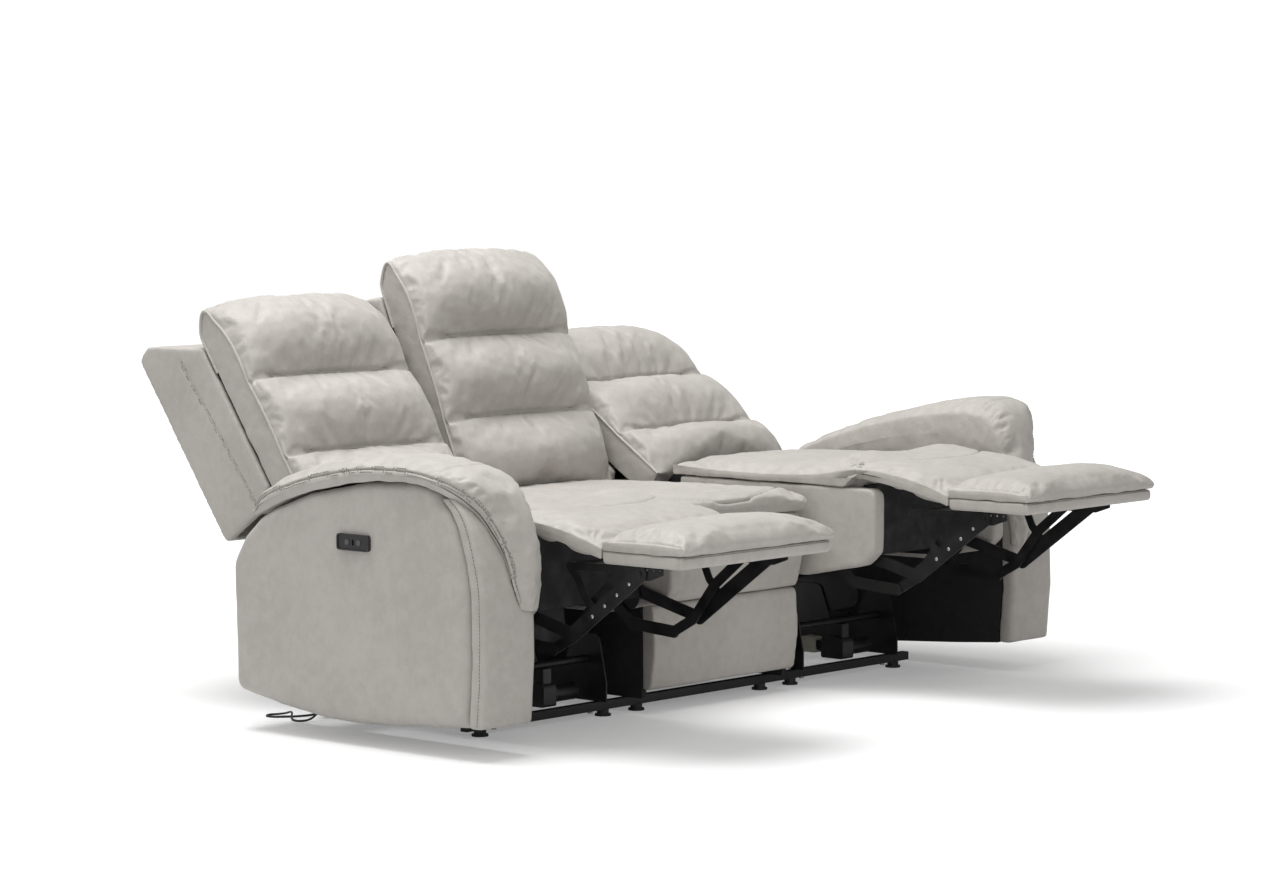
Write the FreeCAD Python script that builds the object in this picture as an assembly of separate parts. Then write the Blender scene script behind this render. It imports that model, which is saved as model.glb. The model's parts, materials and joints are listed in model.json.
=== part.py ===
import FreeCAD
import Part
import math
import os
from FreeCAD import Vector

# Three seat sofa with a power recliner at each end and a fixed seat between them.
# X runs along the sofa, the sofa faces -Y, Z is up and the floor is Z 0.
# Sizes in millimetres. Heights and depths of moving pieces are those of the left seat
# as it stands: footrest out, back a little down.

# Overall layout
seat_pitch = 544.0
seat_half_width = 262.0
arm_inner_x = 866.0
arm_outer_x = 1034.0
origin_shift_y = 45.0

# Poses of the two recliners, degrees from the upright back and millimetres of glide
recline_left = 6.5
recline_right = 28.5
upright_back_angle = 22.5
seat_tilt = 6.0
glide_per_degree = 5.16
glide_slope = 22.3

# Joint centres, depth then height
rocker_centre = (-112.0, 630.0)
back_hinge = (255.0, 451.0)
middle_back_foot = (304.0, 481.0)
footrest_centre = (-451.0, 470.0)
upper_link_pivot = (-275.0, 305.0)
upper_link_knee = (-488.0, 252.0)
wide_link_pivot = (-685.0, 398.0)
lower_link_pivot = (-245.0, 262.0)
lower_link_knee = (-421.0, 213.0)
narrow_link_pivot = (-625.0, 396.0)
footrest_swing = 90.0

# Steel of the mechanism
steel = 3.0
base_steel = 4.0
play = 0.5
seat_plate_x = 203.0
rocker_gap = 4.5
pin_radius = 5.0
pin_fit = 0.05
glide_pin_radius = 6.0
glide_fit = 0.3
wide_link_half = 18.0
link_half = 14.0
narrow_link_half = 12.0

# Floor rails, feet and bolts
rail_size = 20.0
rail_height = 15.0
rail_half_length = 800.0
front_rail_y = -200.0
rear_rail_y = 262.0
foot_offset = 204.0
middle_foot_offset = 224.0
foot_disc_radius = 19.0
foot_disc_height = 5.0
foot_stem_radius = 14.0
foot_disc_clear = 0.0
bolt_offset = 160.0
bolt_head_radius = 6.0
bolt_head_height = 5.0

# Brackets that carry the arms, welded to the outer base plates
hanger_y = (36.0, 156.0)
hanger_z = (74.0, 110.0)
hanger_steel = 4.0

# Drive
tube_radius = 9.0
front_tube = (-165.0, 132.0)
rear_tube = (214.0, 64.0)
gearbox_x = (20.0, 62.0)
gearbox_y = (-186.0, -116.0)
gearbox_z = (36.0, 90.0)
motor_radius = 19.0
motor_length = 95.0
track_width = 14.0
track_height = 22.0
nut_length = 40.0
nut_wall = 8.0
nut_play = 0.4
nut_rest_y = -70.0
nut_travel = 150.0

# Seat pieces
fascia_thickness = 45.0
deck_thickness = 22.0
deck_top = 456.0
front_board_y = -325.0
front_board_thickness = 12.0
seat_cushion_rear = 212.0
seat_cushion_front = -308.0
seat_cushion_edge = 24.0
seat_crown = 30.0
soft_gap = 0.8
chaise_thickness = 33.0

# Footrest pieces
footrest_rear = -611.0
footrest_front = -838.0
footrest_half_width = 251.0
board_bottom = 419.0
board_thickness = 28.0
footrest_pad_edge = 14.0
footrest_crown = 32.0
bracket_height = 34.0
bracket_rear = -612.0
bracket_front = -748.0
chaise_tube = (-478.0, 402.0)

# Backs, in the back's own frame: first its depth behind the hinge line, then its height
cushion_back = 86.0
cushion_foot = 45.0
channel_heights = (188.0, 396.0)
cushion_top = 616.0
cushion_edge = 12.0
channel_face = -4.0
back_crown = 58.0
shell_half_width = 267.0
shell_foot = 121.0
shell_wall = 20.0
shell_rear = 291.0
middle_shell_drop = 72.0
stile_half = 14.0
slat_heights = (160.0, 330.0, 480.0)
slat_half = 20.0
slat_thickness = 18.0
post_width = 40.0
post_depth = 30.0
post_foot = -110.0
post_top = 500.0

# Arms
arm_wall = 20.0
arm_crown = 16.0
arm_frame_board = 14.0
arm_front_depth = 36.0
arm_corner = 14.0
arm_bulge = 4.0

# Middle seat
middle_board = 15.0
middle_front_y = -252.0
middle_panel_bottom = 55.0
middle_panel_seam = 254.0
middle_panel_top = 436.0

# Controls
bezel_y = -104.0
bezel_z = 450.0
bezel_length = 99.0
bezel_height = 36.0
bezel_depth = 8.0
bezel_wall = 3.0
button_radius = 6.5
button_travel = 1.5
button_fit = 0.35
button_spacing = 36.0
socket_size = 13.0

# Power lead
lead_diameter = 5.0
coil_turns = 3
coil_mean_radius = 27.5
coil_pitch = 5.6
coil_centre = (-470.0, 400.0)
coil_tail = 46.0
relief_length = 20.0
relief_inside = 1.0
relief_root = 6.0
relief_tip = 3.6
plug_length = 34.0
plug_width = 26.0
blade_length = 17.0
blade_width = 6.3
blade_thickness = 1.5
blade_spacing = 12.7

nodes = {}


def keep(name, solids):
    """Keep a node's solids under its name, moved to the sofa's own origin."""
    moved = []
    for solid in solids:
        copy = solid.copy()
        copy.translate(Vector(0, origin_shift_y, 0))
        moved.append(copy)
    nodes.setdefault(name, []).extend(moved)


def box(x0, x1, y0, y1, z0, z1):
    return Part.makeBox(x1 - x0, y1 - y0, z1 - z0, Vector(x0, y0, z0))


def rod(centre, radius, x0, x1):
    """A round rod along X."""
    return Part.makeCylinder(radius, x1 - x0, Vector(x0, centre[0], centre[1]), Vector(1, 0, 0))


def outline(points, x):
    """A closed outline in the plane X = x. A point is depth, height and corner radius."""
    count = len(points)
    corners = []
    for i in range(count):
        before = points[i - 1]
        here = points[i]
        after = points[(i + 1) % count]
        radius = here[2] if len(here) > 2 else 0.0
        at = Vector(x, here[0], here[1])
        to_before = Vector(x, before[0], before[1]).sub(at)
        to_after = Vector(x, after[0], after[1]).sub(at)
        if radius <= 0.0:
            corners.append((at, None, at))
            continue
        half = to_before.getAngle(to_after) / 2.0
        reach = radius / math.tan(half)
        limit = 0.45 * min(to_before.Length, to_after.Length)
        if reach > limit:
            reach = limit
            radius = reach * math.tan(half)
        to_before.normalize()
        to_after.normalize()
        bisector = to_before.add(to_after)
        bisector.normalize()
        middle = at.add(bisector * (radius / math.sin(half) - radius))
        corners.append((at.add(to_before * reach), middle, at.add(to_after * reach)))
    edges = []
    for i in range(count):
        start, middle, end = corners[i]
        if middle is not None:
            edges.append(Part.Arc(start, middle, end).toShape())
        following = corners[(i + 1) % count][0]
        edges.append(Part.LineSegment(end, following).toShape())
    return Part.Wire(edges)


def slab(points, x0, x1):
    """A plate with the given outline, from x0 to x1."""
    return Part.Face(outline(points, x0)).extrude(Vector(x1 - x0, 0, 0))


def inset(points, distance):
    """The same outline drawn in towards its middle."""
    depths = [p[0] for p in points]
    heights = [p[1] for p in points]
    mid_y = (min(depths) + max(depths)) / 2.0
    mid_z = (min(heights) + max(heights)) / 2.0
    scale_y = 1.0 - 2.0 * distance / (max(depths) - min(depths))
    scale_z = 1.0 - 2.0 * distance / (max(heights) - min(heights))
    drawn = []
    for p in points:
        radius = p[2] if len(p) > 2 else 0.0
        drawn.append((mid_y + (p[0] - mid_y) * scale_y, mid_z + (p[1] - mid_z) * scale_z, radius))
    return drawn


def bar(points, half, x0, x1):
    """A flat steel link with round ends through the given points."""
    shape = rod(points[0], half, x0, x1)
    for start, end in zip(points, points[1:]):
        run_y = end[0] - start[0]
        run_z = end[1] - start[1]
        length = math.hypot(run_y, run_z)
        side_y = -run_z / length * half
        side_z = run_y / length * half
        corners = [
            (start[0] + side_y, start[1] + side_z),
            (end[0] + side_y, end[1] + side_z),
            (end[0] - side_y, end[1] - side_z),
            (start[0] - side_y, start[1] - side_z),
        ]
        shape = shape.fuse(slab(corners, x0, x1))
        shape = shape.fuse(rod(end, half, x0, x1))
    return shape.removeSplitter()


def both_sides(solid):
    """A solid and its mirror image across the seat's centre plane."""
    return [solid, solid.mirror(Vector(0, 0, 0), Vector(1, 0, 0))]


def arc_wire(pieces, x):
    """A closed wire at X = x of arcs (start, middle) and lines (start,), each to the next start."""
    edges = []
    count = len(pieces)
    for i in range(count):
        piece = pieces[i]
        start = Vector(x, piece[0][0], piece[0][1])
        end = Vector(x, pieces[(i + 1) % count][0][0], pieces[(i + 1) % count][0][1])
        if len(piece) > 1:
            middle = Vector(x, piece[1][0], piece[1][1])
            edges.append(Part.Arc(start, middle, end).toShape())
        else:
            edges.append(Part.LineSegment(start, end).toShape())
    return Part.Wire(edges)


# How full a cushion is across its width: share of the half width, share of the crown
fullness = [(-1.0, 0.0), (-0.93, 0.42), (-0.62, 0.85), (0.0, 1.0), (0.62, 0.85), (0.93, 0.42), (1.0, 0.0)]


def padded(profile, half_width):
    """A crowned cushion: the profile for each fullness, lofted across the width."""
    wires = []
    for share, full in fullness:
        wires.append(arc_wire(profile(full), share * half_width))
    return Part.makeLoft(wires, True, False)


# Places that follow from the driving sizes
lower_link_x = seat_plate_x - steel - play
narrow_link_x = lower_link_x - steel - play
upper_link_x = seat_plate_x + steel + play
wide_link_x = upper_link_x + steel + play
rocker_x = narrow_link_x - rocker_gap - steel
base_x = rocker_x - play - base_steel
rail_top = rail_height + rail_size
glide_y = -math.cos(math.radians(glide_slope))
glide_z = math.sin(math.radians(glide_slope))
left_x = -seat_pitch
right_x = seat_pitch
right_glide = (recline_right - recline_left) * glide_per_degree
back_glide = recline_left * glide_per_degree
board_top = board_bottom + board_thickness
deck_bottom = deck_top - deck_thickness
fascia_inner = seat_half_width - fascia_thickness


def turned(point, centre, degrees):
    """A point turned about a centre, positive from depth towards height."""
    angle = math.radians(degrees)
    y = point[0] - centre[0]
    z = point[1] - centre[1]
    turned_y = y * math.cos(angle) - z * math.sin(angle)
    turned_z = y * math.sin(angle) + z * math.cos(angle)
    return (centre[0] + turned_y, centre[1] + turned_z)


def heading(start, end):
    return math.degrees(math.atan2(end[1] - start[1], end[0] - start[0]))


def folded_knee(pivot, reach, far_pivot, far_reach):
    """Where the knee of two links lies once the footrest is in."""
    gap_y = far_pivot[0] - pivot[0]
    gap_z = far_pivot[1] - pivot[1]
    gap = math.hypot(gap_y, gap_z)
    along = (reach * reach - far_reach * far_reach + gap * gap) / (2.0 * gap)
    off = math.sqrt(reach * reach - along * along)
    unit_y = gap_y / gap
    unit_z = gap_z / gap
    return (pivot[0] + along * unit_y - off * unit_z, pivot[1] + along * unit_z + off * unit_y)


def link_turns(pivot, knee, far_pivot):
    """Turn of the rear link on the seat and of the front link on the footrest, in degrees."""
    reach = math.dist(pivot, knee)
    far_reach = math.dist(knee, far_pivot)
    far_in = turned(far_pivot, footrest_centre, footrest_swing)
    knee_in = folded_knee(pivot, reach, far_in, far_reach)
    rear_turn = (heading(pivot, knee_in) - heading(pivot, knee)) % 360.0
    front_turn = heading(far_in, knee_in) - heading(far_pivot, knee) - footrest_swing
    return rear_turn, front_turn, knee_in


# Standing base: two floor rails, feet, bolts and the hangers that carry the arms
def standing_base():
    for y in (front_rail_y, rear_rail_y):
        rail = box(
            -rail_half_length, rail_half_length,
            y - rail_size / 2, y + rail_size / 2, rail_height, rail_top,
        )
        keep("floor_rails", [rail])
    foot_places = []
    for centre in (left_x, right_x):
        foot_places += [centre - foot_offset, centre + foot_offset]
    foot_places += [-middle_foot_offset, middle_foot_offset]
    feet = []
    bolts = []
    for y in (front_rail_y, rear_rail_y):
        for x in foot_places:
            disc = Part.makeCylinder(foot_disc_radius, foot_disc_height, Vector(x, y, foot_disc_clear))
            stem = Part.makeCylinder(
                foot_stem_radius, rail_height - foot_disc_height, Vector(x, y, foot_disc_height)
            )
            feet.append(disc.fuse(stem).removeSplitter())
        for centre in (left_x, right_x):
            for x in (centre - bolt_offset, centre + bolt_offset):
                head = Part.makeCylinder(
                    bolt_head_radius, bolt_head_height, Vector(x, y, rail_height - bolt_head_height)
                )
                bolts.append(head)
    keep("levelling_feet", feet)
    keep("rail_bolts", bolts)


# Fixed part of one mechanism: base plates, cross tubes, motor, gearbox and drive track
def fixed_mechanism(side_x):
    shift = Vector(side_x, 0, 0)
    plate_points = [
        (-228.0, rail_top, 4.0), (-228.0, 80.0, 10.0), (-205.0, 190.0, 18.0), (-130.0, 196.0, 20.0),
        (-95.0, 110.0, 20.0), (-20.0, 96.0, 30.0), (20.0, 196.0, 20.0), (170.0, 196.0, 20.0),
        (205.0, 110.0, 20.0), (286.0, 78.0, 12.0), (286.0, rail_top, 4.0),
    ]
    plate = slab(plate_points, base_x, base_x + base_steel)
    plates = both_sides(plate)
    outer_side = 1.0 if side_x > 0.0 else -1.0
    arm_face = arm_inner_x - seat_pitch
    shelf = box(base_x, arm_face, hanger_y[0], hanger_y[1], hanger_z[0], hanger_z[0] + hanger_steel)
    flange = box(arm_face - hanger_steel, arm_face, hanger_y[0], hanger_y[1], hanger_z[0], hanger_z[1])
    hanger = shelf.fuse(flange)
    if outer_side > 0.0:
        plates[0] = plates[0].fuse(hanger).removeSplitter()
    else:
        plates[1] = plates[1].fuse(both_sides(hanger)[1]).removeSplitter()
    place_all("mechanism_base_plates", plates, shift)
    tubes = [
        rod(front_tube, tube_radius, -base_x, base_x),
        rod(rear_tube, tube_radius, -base_x, base_x),
    ]
    place_all("mechanism_cross_tubes", tubes, shift)
    gearbox_points = [
        (gearbox_y[0], gearbox_z[0], 6.0), (gearbox_y[0], gearbox_z[1], 14.0),
        (gearbox_y[1], gearbox_z[1], 14.0), (gearbox_y[1], gearbox_z[0], 6.0),
    ]
    gearbox = slab(gearbox_points, gearbox_x[0], gearbox_x[1])
    lug_top = front_tube[1] - tube_radius - glide_fit
    lug = box(
        gearbox_x[0] + 8.0, gearbox_x[1] - 8.0, front_tube[0] - 12.0, front_tube[0] + 12.0,
        gearbox_z[1] - 2.0, lug_top,
    )
    motor_centre = ((gearbox_y[0] + gearbox_y[1]) / 2.0, gearbox_z[0] + motor_radius + 3.0)
    motor = rod(motor_centre, motor_radius, gearbox_x[1] - 1.0, gearbox_x[1] + motor_length)
    place_all("drive_motors", [gearbox.fuse(lug).fuse(motor).removeSplitter()], shift)
    track_x = (gearbox_x[0] + gearbox_x[1]) / 2.0
    track_z = rear_tube[1]
    track = box(
        track_x - track_width / 2, track_x + track_width / 2,
        gearbox_y[1], rear_tube[0] - tube_radius - glide_fit,
        track_z - track_height / 2, track_z + track_height / 2,
    )
    place_all("drive_tracks", [track], shift)


def place_all(name, solids, shift):
    moved = []
    for solid in solids:
        copy = solid.copy()
        copy.translate(shift)
        moved.append(copy)
    keep(name, moved)


# Back of any seat, built upright behind its hinge line: Y is depth, Z is height
def back_cushion_shape(foot):
    def profile(full):
        edge = cushion_edge
        bulge = cushion_edge - 3.0 - back_crown * full
        valley = cushion_edge + (channel_face - cushion_edge) * full
        low = channel_heights[0]
        high = channel_heights[1]
        top = cushion_top + 14.0 * full
        return [
            ((edge, foot), (bulge, (foot + low) / 2.0)),
            ((valley, low), (bulge - 4.0 * full, (low + high) / 2.0)),
            ((valley, high), (bulge - 2.0 * full, (high + top) / 2.0)),
            ((edge - 10.0 * full, top - 22.0), ((edge + cushion_back) / 2.0, top)),
            ((cushion_back, cushion_top - 30.0),),
            ((cushion_back, foot),),
        ]

    return padded(profile, seat_half_width)


def back_shell_shape(drop):
    """Wedge shaped rear shell, open in front, its top lowered by the drop."""
    outer_points = [
        (152.0, shell_foot, 6.0), (shell_rear, shell_foot, 14.0), (shell_rear + 5.0, 636.0 - drop, 16.0),
        (252.0, 646.0 - drop, 16.0), (94.0, 540.0, 12.0), (92.0, 150.0, 10.0),
    ]
    outer = slab(outer_points, -shell_half_width, shell_half_width)
    hollow_points = [
        (80.0, shell_foot - 30.0), (shell_rear - shell_wall, shell_foot - 30.0),
        (shell_rear - shell_wall + 4.0, 612.0 - drop), (256.0, 616.0 - drop), (116.0, 518.0), (80.0, 518.0),
    ]
    inner = shell_half_width - shell_wall
    hollow = slab(hollow_points, -inner, inner)
    return outer.cut(hollow)


def back_frame_shapes():
    stile_x = upper_link_x
    stile_depth = cushion_back + soft_gap / 2.0 + stile_half
    way = [(0.0, 0.0), (stile_depth, 24.0), (stile_depth, 500.0)]
    stile = bar(way, stile_half, stile_x, stile_x + steel)
    pin = rod((0.0, 0.0), pin_radius, seat_plate_x - play, stile_x + steel)
    stiles = both_sides(stile.fuse(pin).removeSplitter())
    slats = []
    reach = shell_half_width - shell_wall
    front = stile_depth + stile_half
    for height in slat_heights:
        slats.append(
            box(-reach, reach, front, front + slat_thickness, height - slat_half, height + slat_half)
        )
    return stiles + slats


def middle_post_shapes():
    """Posts of the fixed back, which stand against the side panels of the middle frame."""
    outer = seat_half_width - middle_board
    front = cushion_back + soft_gap / 2.0
    return both_sides(box(outer - post_width, outer, front, front + post_depth, post_foot, post_top))


def stand_back(solid, angle, hinge, shift):
    """Lean a back's solid rearward and stand it on its hinge."""
    copy = solid.copy()
    copy.rotate(Vector(0, 0, 0), Vector(1, 0, 0), -angle)
    copy.translate(Vector(0, hinge[0], hinge[1]))
    copy.translate(shift)
    return copy


# Rocker plates, which tilt the seat as the footrest comes out, with the glide slots
def rocker_shapes():
    points = [
        (-104.0, 150.0, 30.0), (40.0, 118.0, 40.0), (262.0, 150.0, 40.0), (272.0, 262.0, 30.0),
        (130.0, 338.0, 40.0), (-78.0, 345.0, 30.0),
    ]
    plate = slab(points, rocker_x, rocker_x + steel)
    for place in glide_pins:
        rear = (place[0] - back_glide * glide_y, place[1] - back_glide * glide_z)
        front = (place[0] + right_glide * glide_y, place[1] + right_glide * glide_z)
        slot = bar([rear, front], glide_pin_radius + glide_fit, rocker_x - 1.0, rocker_x + steel + 1.0)
        plate = plate.cut(slot)
    spreader = rod(rocker_spreader, tube_radius, -rocker_x, rocker_x)
    return both_sides(plate) + [spreader]


glide_pins = [(66.0, 258.0), (204.0, 258.0)]
rocker_spreader = (100.0, 214.0)


# Seat plates: front bar, glide pins and the upright that carries the back hinge
def seat_plate_shapes():
    x0 = seat_plate_x
    x1 = seat_plate_x + steel
    bar_y = upper_link_pivot[0] - 6.0
    main = bar([(bar_y, 284.0), (235.0, 272.0)], 32.0, x0, x1)
    front_tab = bar([(-190.0, 290.0), (-190.0, deck_bottom - 26.0)], 26.0, x0, x1)
    rear_tab = bar([(110.0, 280.0), (110.0, deck_bottom - 26.0)], 26.0, x0, x1)
    upright = bar([(240.0, 285.0), back_hinge], 15.0, x0, x1)
    plate = main.fuse(front_tab).fuse(rear_tab).fuse(upright)
    for place in glide_pins:
        plate = plate.fuse(rod(place, glide_pin_radius, rocker_x, x1))
    plate = plate.removeSplitter()
    for place in (upper_link_pivot, lower_link_pivot, back_hinge):
        plate = plate.cut(rod(place, pin_radius + pin_fit, x0 - 1.0, x1 + 1.0))
    return both_sides(plate)


def seat_deck_shapes():
    narrow = rocker_x
    wide = box(-fascia_inner, fascia_inner, -245.0, seat_cushion_rear, deck_bottom, deck_top)
    front = box(
        -narrow, narrow, front_board_y + front_board_thickness, -244.0, deck_bottom, deck_top
    )
    board = box(
        -narrow, narrow, front_board_y, front_board_y + front_board_thickness, 285.0, deck_top
    )
    return [wide.fuse(front).removeSplitter(), board]


# Leather covered side boards of the seat, with their rounded noses
def fascia_shapes():
    points = [
        (-361.0, 270.0, 10.0), (-398.0, 300.0, 30.0), (-400.0, deck_top - 1.0, 26.0),
        (seat_cushion_rear, deck_top - 1.0, 8.0), (seat_cushion_rear, 236.0, 12.0), (-190.0, 236.0, 60.0),
    ]
    return both_sides(slab(points, fascia_inner, seat_half_width - 2.0))


def seat_cushion_shape(rear, front, bottom, edge_rise, crown):
    """Seat cushion with a shallow seam ahead of its middle and a rolled front."""
    def profile(full):
        seam_y = front + 118.0
        edge = bottom + edge_rise
        top = edge + crown * full
        return [
            ((front, bottom),),
            ((front, edge - 6.0), ((front + seam_y) / 2.0 - 20.0, top + 6.0 + 2.0 * full)),
            ((seam_y, top - 3.0 * full + 3.0), ((seam_y + rear) / 2.0, top + 7.0)),
            ((rear, edge),),
            ((rear, bottom),),
        ]

    return padded(profile, seat_half_width)


def chaise_shape():
    """Padded bridge from the seat to the footrest."""
    rear_y = seat_cushion_front - soft_gap
    front_y = footrest_rear + soft_gap / 2.0 + 3.0

    def profile(full):
        rise = 10.0 * full
        return [
            ((rear_y, 486.0),),
            ((rear_y, 486.0 + chaise_thickness - 6.0), (-440.0, 505.0 + rise)),
            ((front_y, 452.0 + 2.0 * rise), (front_y + 1.0 * full - 3.0, 440.0)),
            ((front_y, 424.0), (-450.0, 463.0)),
        ]

    return padded(profile, footrest_half_width - 2.0)


# Footrest: wrapped board, pad, brackets and the curved chaise support
def footrest_board_shape():
    points = [
        (footrest_rear, board_bottom, 8.0), (footrest_rear, board_top, 6.0),
        (footrest_front, board_top, 10.0), (footrest_front, board_bottom, 10.0),
    ]
    return slab(points, -footrest_half_width, footrest_half_width)


def footrest_pad_shape():
    bottom = board_top + soft_gap / 2.0

    def profile(full):
        edge = bottom + footrest_pad_edge
        top = edge + footrest_crown * full
        return [
            ((footrest_rear, bottom),),
            ((footrest_rear, edge), ((footrest_rear + footrest_front) / 2.0, top + 3.0)),
            ((footrest_front + 2.0, edge - 3.0), (footrest_front - 7.0, bottom + footrest_pad_edge / 2.0)),
            ((footrest_front, bottom),),
        ]

    return padded(profile, footrest_half_width)


def footrest_bracket_shapes():
    x0 = upper_link_x
    x1 = upper_link_x + steel
    web_points = [
        (bracket_rear, board_bottom), (bracket_front, board_bottom), (bracket_front, board_bottom - 20.0, 4.0),
        (bracket_front + 40.0, board_bottom - bracket_height, 10.0),
        (bracket_rear, board_bottom - bracket_height, 6.0),
    ]
    web = slab(web_points, x0, x1)
    flange = box(x0 - 26.0, x0, bracket_front, bracket_rear, board_bottom - steel, board_bottom)
    strap = bar([(-640.0, 406.0), chaise_tube], 8.0, x0, x1)
    curved = bar([chaise_tube, (-505.0, 372.0), (-520.0, 340.0), (-541.0, 318.0)], 10.0, x0, x1)
    bracket = web.fuse(flange).fuse(strap).fuse(curved).removeSplitter()
    for place in (wide_link_pivot, narrow_link_pivot):
        bracket = bracket.cut(rod(place, pin_radius + pin_fit, x0 - 1.0, x1 + 1.0))
    for step in range(3):
        hole = (bracket_front + 10.0 + 18.0 * step, board_bottom - 11.0)
        bracket = bracket.cut(rod(hole, 3.0, x0 - 1.0, x1 + 1.0))
    return both_sides(bracket) + [rod(chaise_tube, 8.0, -x0, x0)]


def with_pin(link, place, x0, x1):
    return link.fuse(rod(place, pin_radius, x0, x1)).removeSplitter()


# One recliner, placed by its side, its glide and how far its back is down
def recliner(side, side_x, glide, recline):
    seat_shift = Vector(side_x, glide * glide_y, glide * glide_z)
    place_all(side + "_rocker_plates", rocker_shapes(), Vector(side_x, 0, 0))
    place_all(side + "_seat_plates", seat_plate_shapes(), seat_shift)
    place_all(side + "_seat_deck", seat_deck_shapes(), seat_shift)
    place_all(side + "_seat_fascias", fascia_shapes(), seat_shift)
    cushion = seat_cushion_shape(
        seat_cushion_rear, seat_cushion_front, deck_top + soft_gap / 2.0, seat_cushion_edge, seat_crown
    )
    place_all(side + "_seat_cushion", [cushion], seat_shift)
    place_all(side + "_chaise_pad", [chaise_shape()], seat_shift)
    place_all(side + "_footrest_board", [footrest_board_shape()], seat_shift)
    place_all(side + "_footrest_pad", [footrest_pad_shape()], seat_shift)
    place_all(side + "_footrest_brackets", footrest_bracket_shapes(), seat_shift)
    upper = bar([upper_link_pivot, upper_link_knee], link_half, upper_link_x, upper_link_x + steel)
    upper = with_pin(upper, upper_link_pivot, seat_plate_x - play, upper_link_x + steel)
    place_all(side + "_upper_rear_links", both_sides(upper), seat_shift)
    lower_way = [lower_link_pivot, (-292.0, 222.0), lower_link_knee]
    lower = bar(lower_way, link_half, lower_link_x, lower_link_x + steel)
    lower = with_pin(lower, lower_link_pivot, lower_link_x, seat_plate_x + steel)
    place_all(side + "_lower_rear_links", both_sides(lower), seat_shift)
    wide = bar([wide_link_pivot, upper_link_knee], wide_link_half, wide_link_x, wide_link_x + steel)
    wide = with_pin(wide, wide_link_pivot, upper_link_x, wide_link_x + 2.0 * steel)
    place_all(side + "_wide_front_links", both_sides(wide), seat_shift)
    narrow_way = [narrow_link_pivot, (-545.0, 330.0), (-480.0, 246.0), lower_link_knee]
    narrow = bar(narrow_way, narrow_link_half, narrow_link_x, narrow_link_x + steel)
    narrow = with_pin(narrow, narrow_link_pivot, narrow_link_x, upper_link_x + steel)
    place_all(side + "_narrow_front_links", both_sides(narrow), seat_shift)
    angle = upright_back_angle + seat_tilt + recline
    for name, solids in (
        ("_back_frame", back_frame_shapes()),
        ("_back_shell", [back_shell_shape(0.0)]),
        ("_back_cushion", [back_cushion_shape(cushion_foot)]),
    ):
        stood = [stand_back(solid, angle, back_hinge, seat_shift) for solid in solids]
        keep(side + name, stood)
    track_x = side_x + (gearbox_x[0] + gearbox_x[1]) / 2.0
    half_x = track_width / 2 + nut_play
    half_z = track_height / 2 + nut_play
    block = box(
        track_x - half_x - nut_wall, track_x + half_x + nut_wall,
        nut_rest_y - nut_length / 2, nut_rest_y + nut_length / 2,
        rear_tube[1] - half_z - nut_wall, rear_tube[1] + half_z + nut_wall,
    )
    bore = box(
        track_x - half_x, track_x + half_x, nut_rest_y - nut_length, nut_rest_y + nut_length,
        rear_tube[1] - half_z, rear_tube[1] + half_z,
    )
    keep(side + "_drive_nut", [block.cut(bore)])


# Fixed middle seat
def middle_seat():
    outer = seat_half_width
    side_points = [
        (middle_front_y, rail_top, 6.0), (290.0, rail_top, 6.0), (330.0, 250.0, 60.0),
        (402.0, 330.0, 40.0), (402.0, 430.0, 20.0), (middle_front_y, 430.0, 6.0),
    ]
    panels = both_sides(slab(side_points, outer - middle_board, outer))
    deck = box(-outer + middle_board, outer - middle_board, middle_front_y, 240.0, 415.0, 430.0)
    rear = box(-outer + middle_board, outer - middle_board, 262.0, 277.0, 120.0, 430.0)
    posts = []
    for post in middle_post_shapes():
        posts.append(stand_back(post, upright_back_angle, middle_back_foot, Vector(0, 0, 0)))
    keep("middle_frame", panels + [deck, rear] + posts)
    lower_points = [
        (middle_front_y, middle_panel_bottom, 4.0), (middle_front_y, middle_panel_seam - 1.0, 4.0),
        (middle_front_y - 32.0, middle_panel_seam - 1.0, 14.0),
        (middle_front_y - 40.0, 150.0, 200.0), (middle_front_y - 26.0, middle_panel_bottom, 14.0),
    ]
    keep("middle_lower_panel", [slab(lower_points, -outer, outer)])
    upper_points = [
        (middle_front_y, middle_panel_seam, 4.0), (middle_front_y, middle_panel_top, 4.0),
        (middle_front_y - 40.0, middle_panel_top, 18.0), (middle_front_y - 60.0, 350.0, 120.0),
        (middle_front_y - 34.0, middle_panel_seam, 16.0),
    ]
    keep("middle_upper_panel", [slab(upper_points, -outer, outer)])
    cushion = seat_cushion_shape(258.0, middle_front_y - 48.0, middle_panel_top + soft_gap / 2.0, 20.0, 26.0)
    keep("middle_seat_cushion", [cushion])
    hinge = middle_back_foot
    shell = stand_back(back_shell_shape(middle_shell_drop), upright_back_angle, hinge, Vector(0, 0, 0))
    keep("middle_back_shell", [shell])
    soft = stand_back(back_cushion_shape(4.0), upright_back_angle, hinge, Vector(0, 0, 0))
    keep("middle_back_cushion", [soft])


# Arms, built on the right and mirrored
arm_front_line = [
    (71.0, -476.0), (206.0, -486.0), (354.0, -484.0), (430.0, -470.0), (500.0, -447.0),
    (535.0, -425.0), (561.0, -396.0),
]
arm_top_line = [
    (-290.0, 596.0), (-130.0, 586.0), (50.0, 551.0), (168.0, 508.0), (214.0, 484.0), (262.0, 442.0),
]
arm_lower_line = [
    (299.0, 383.0, 30.0), (291.0, 90.0, 16.0), (150.0, 66.0, 300.0), (10.0, 50.0, 300.0),
    (-100.0, 47.0, 300.0), (-303.0, 60.0, 300.0),
]


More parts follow.
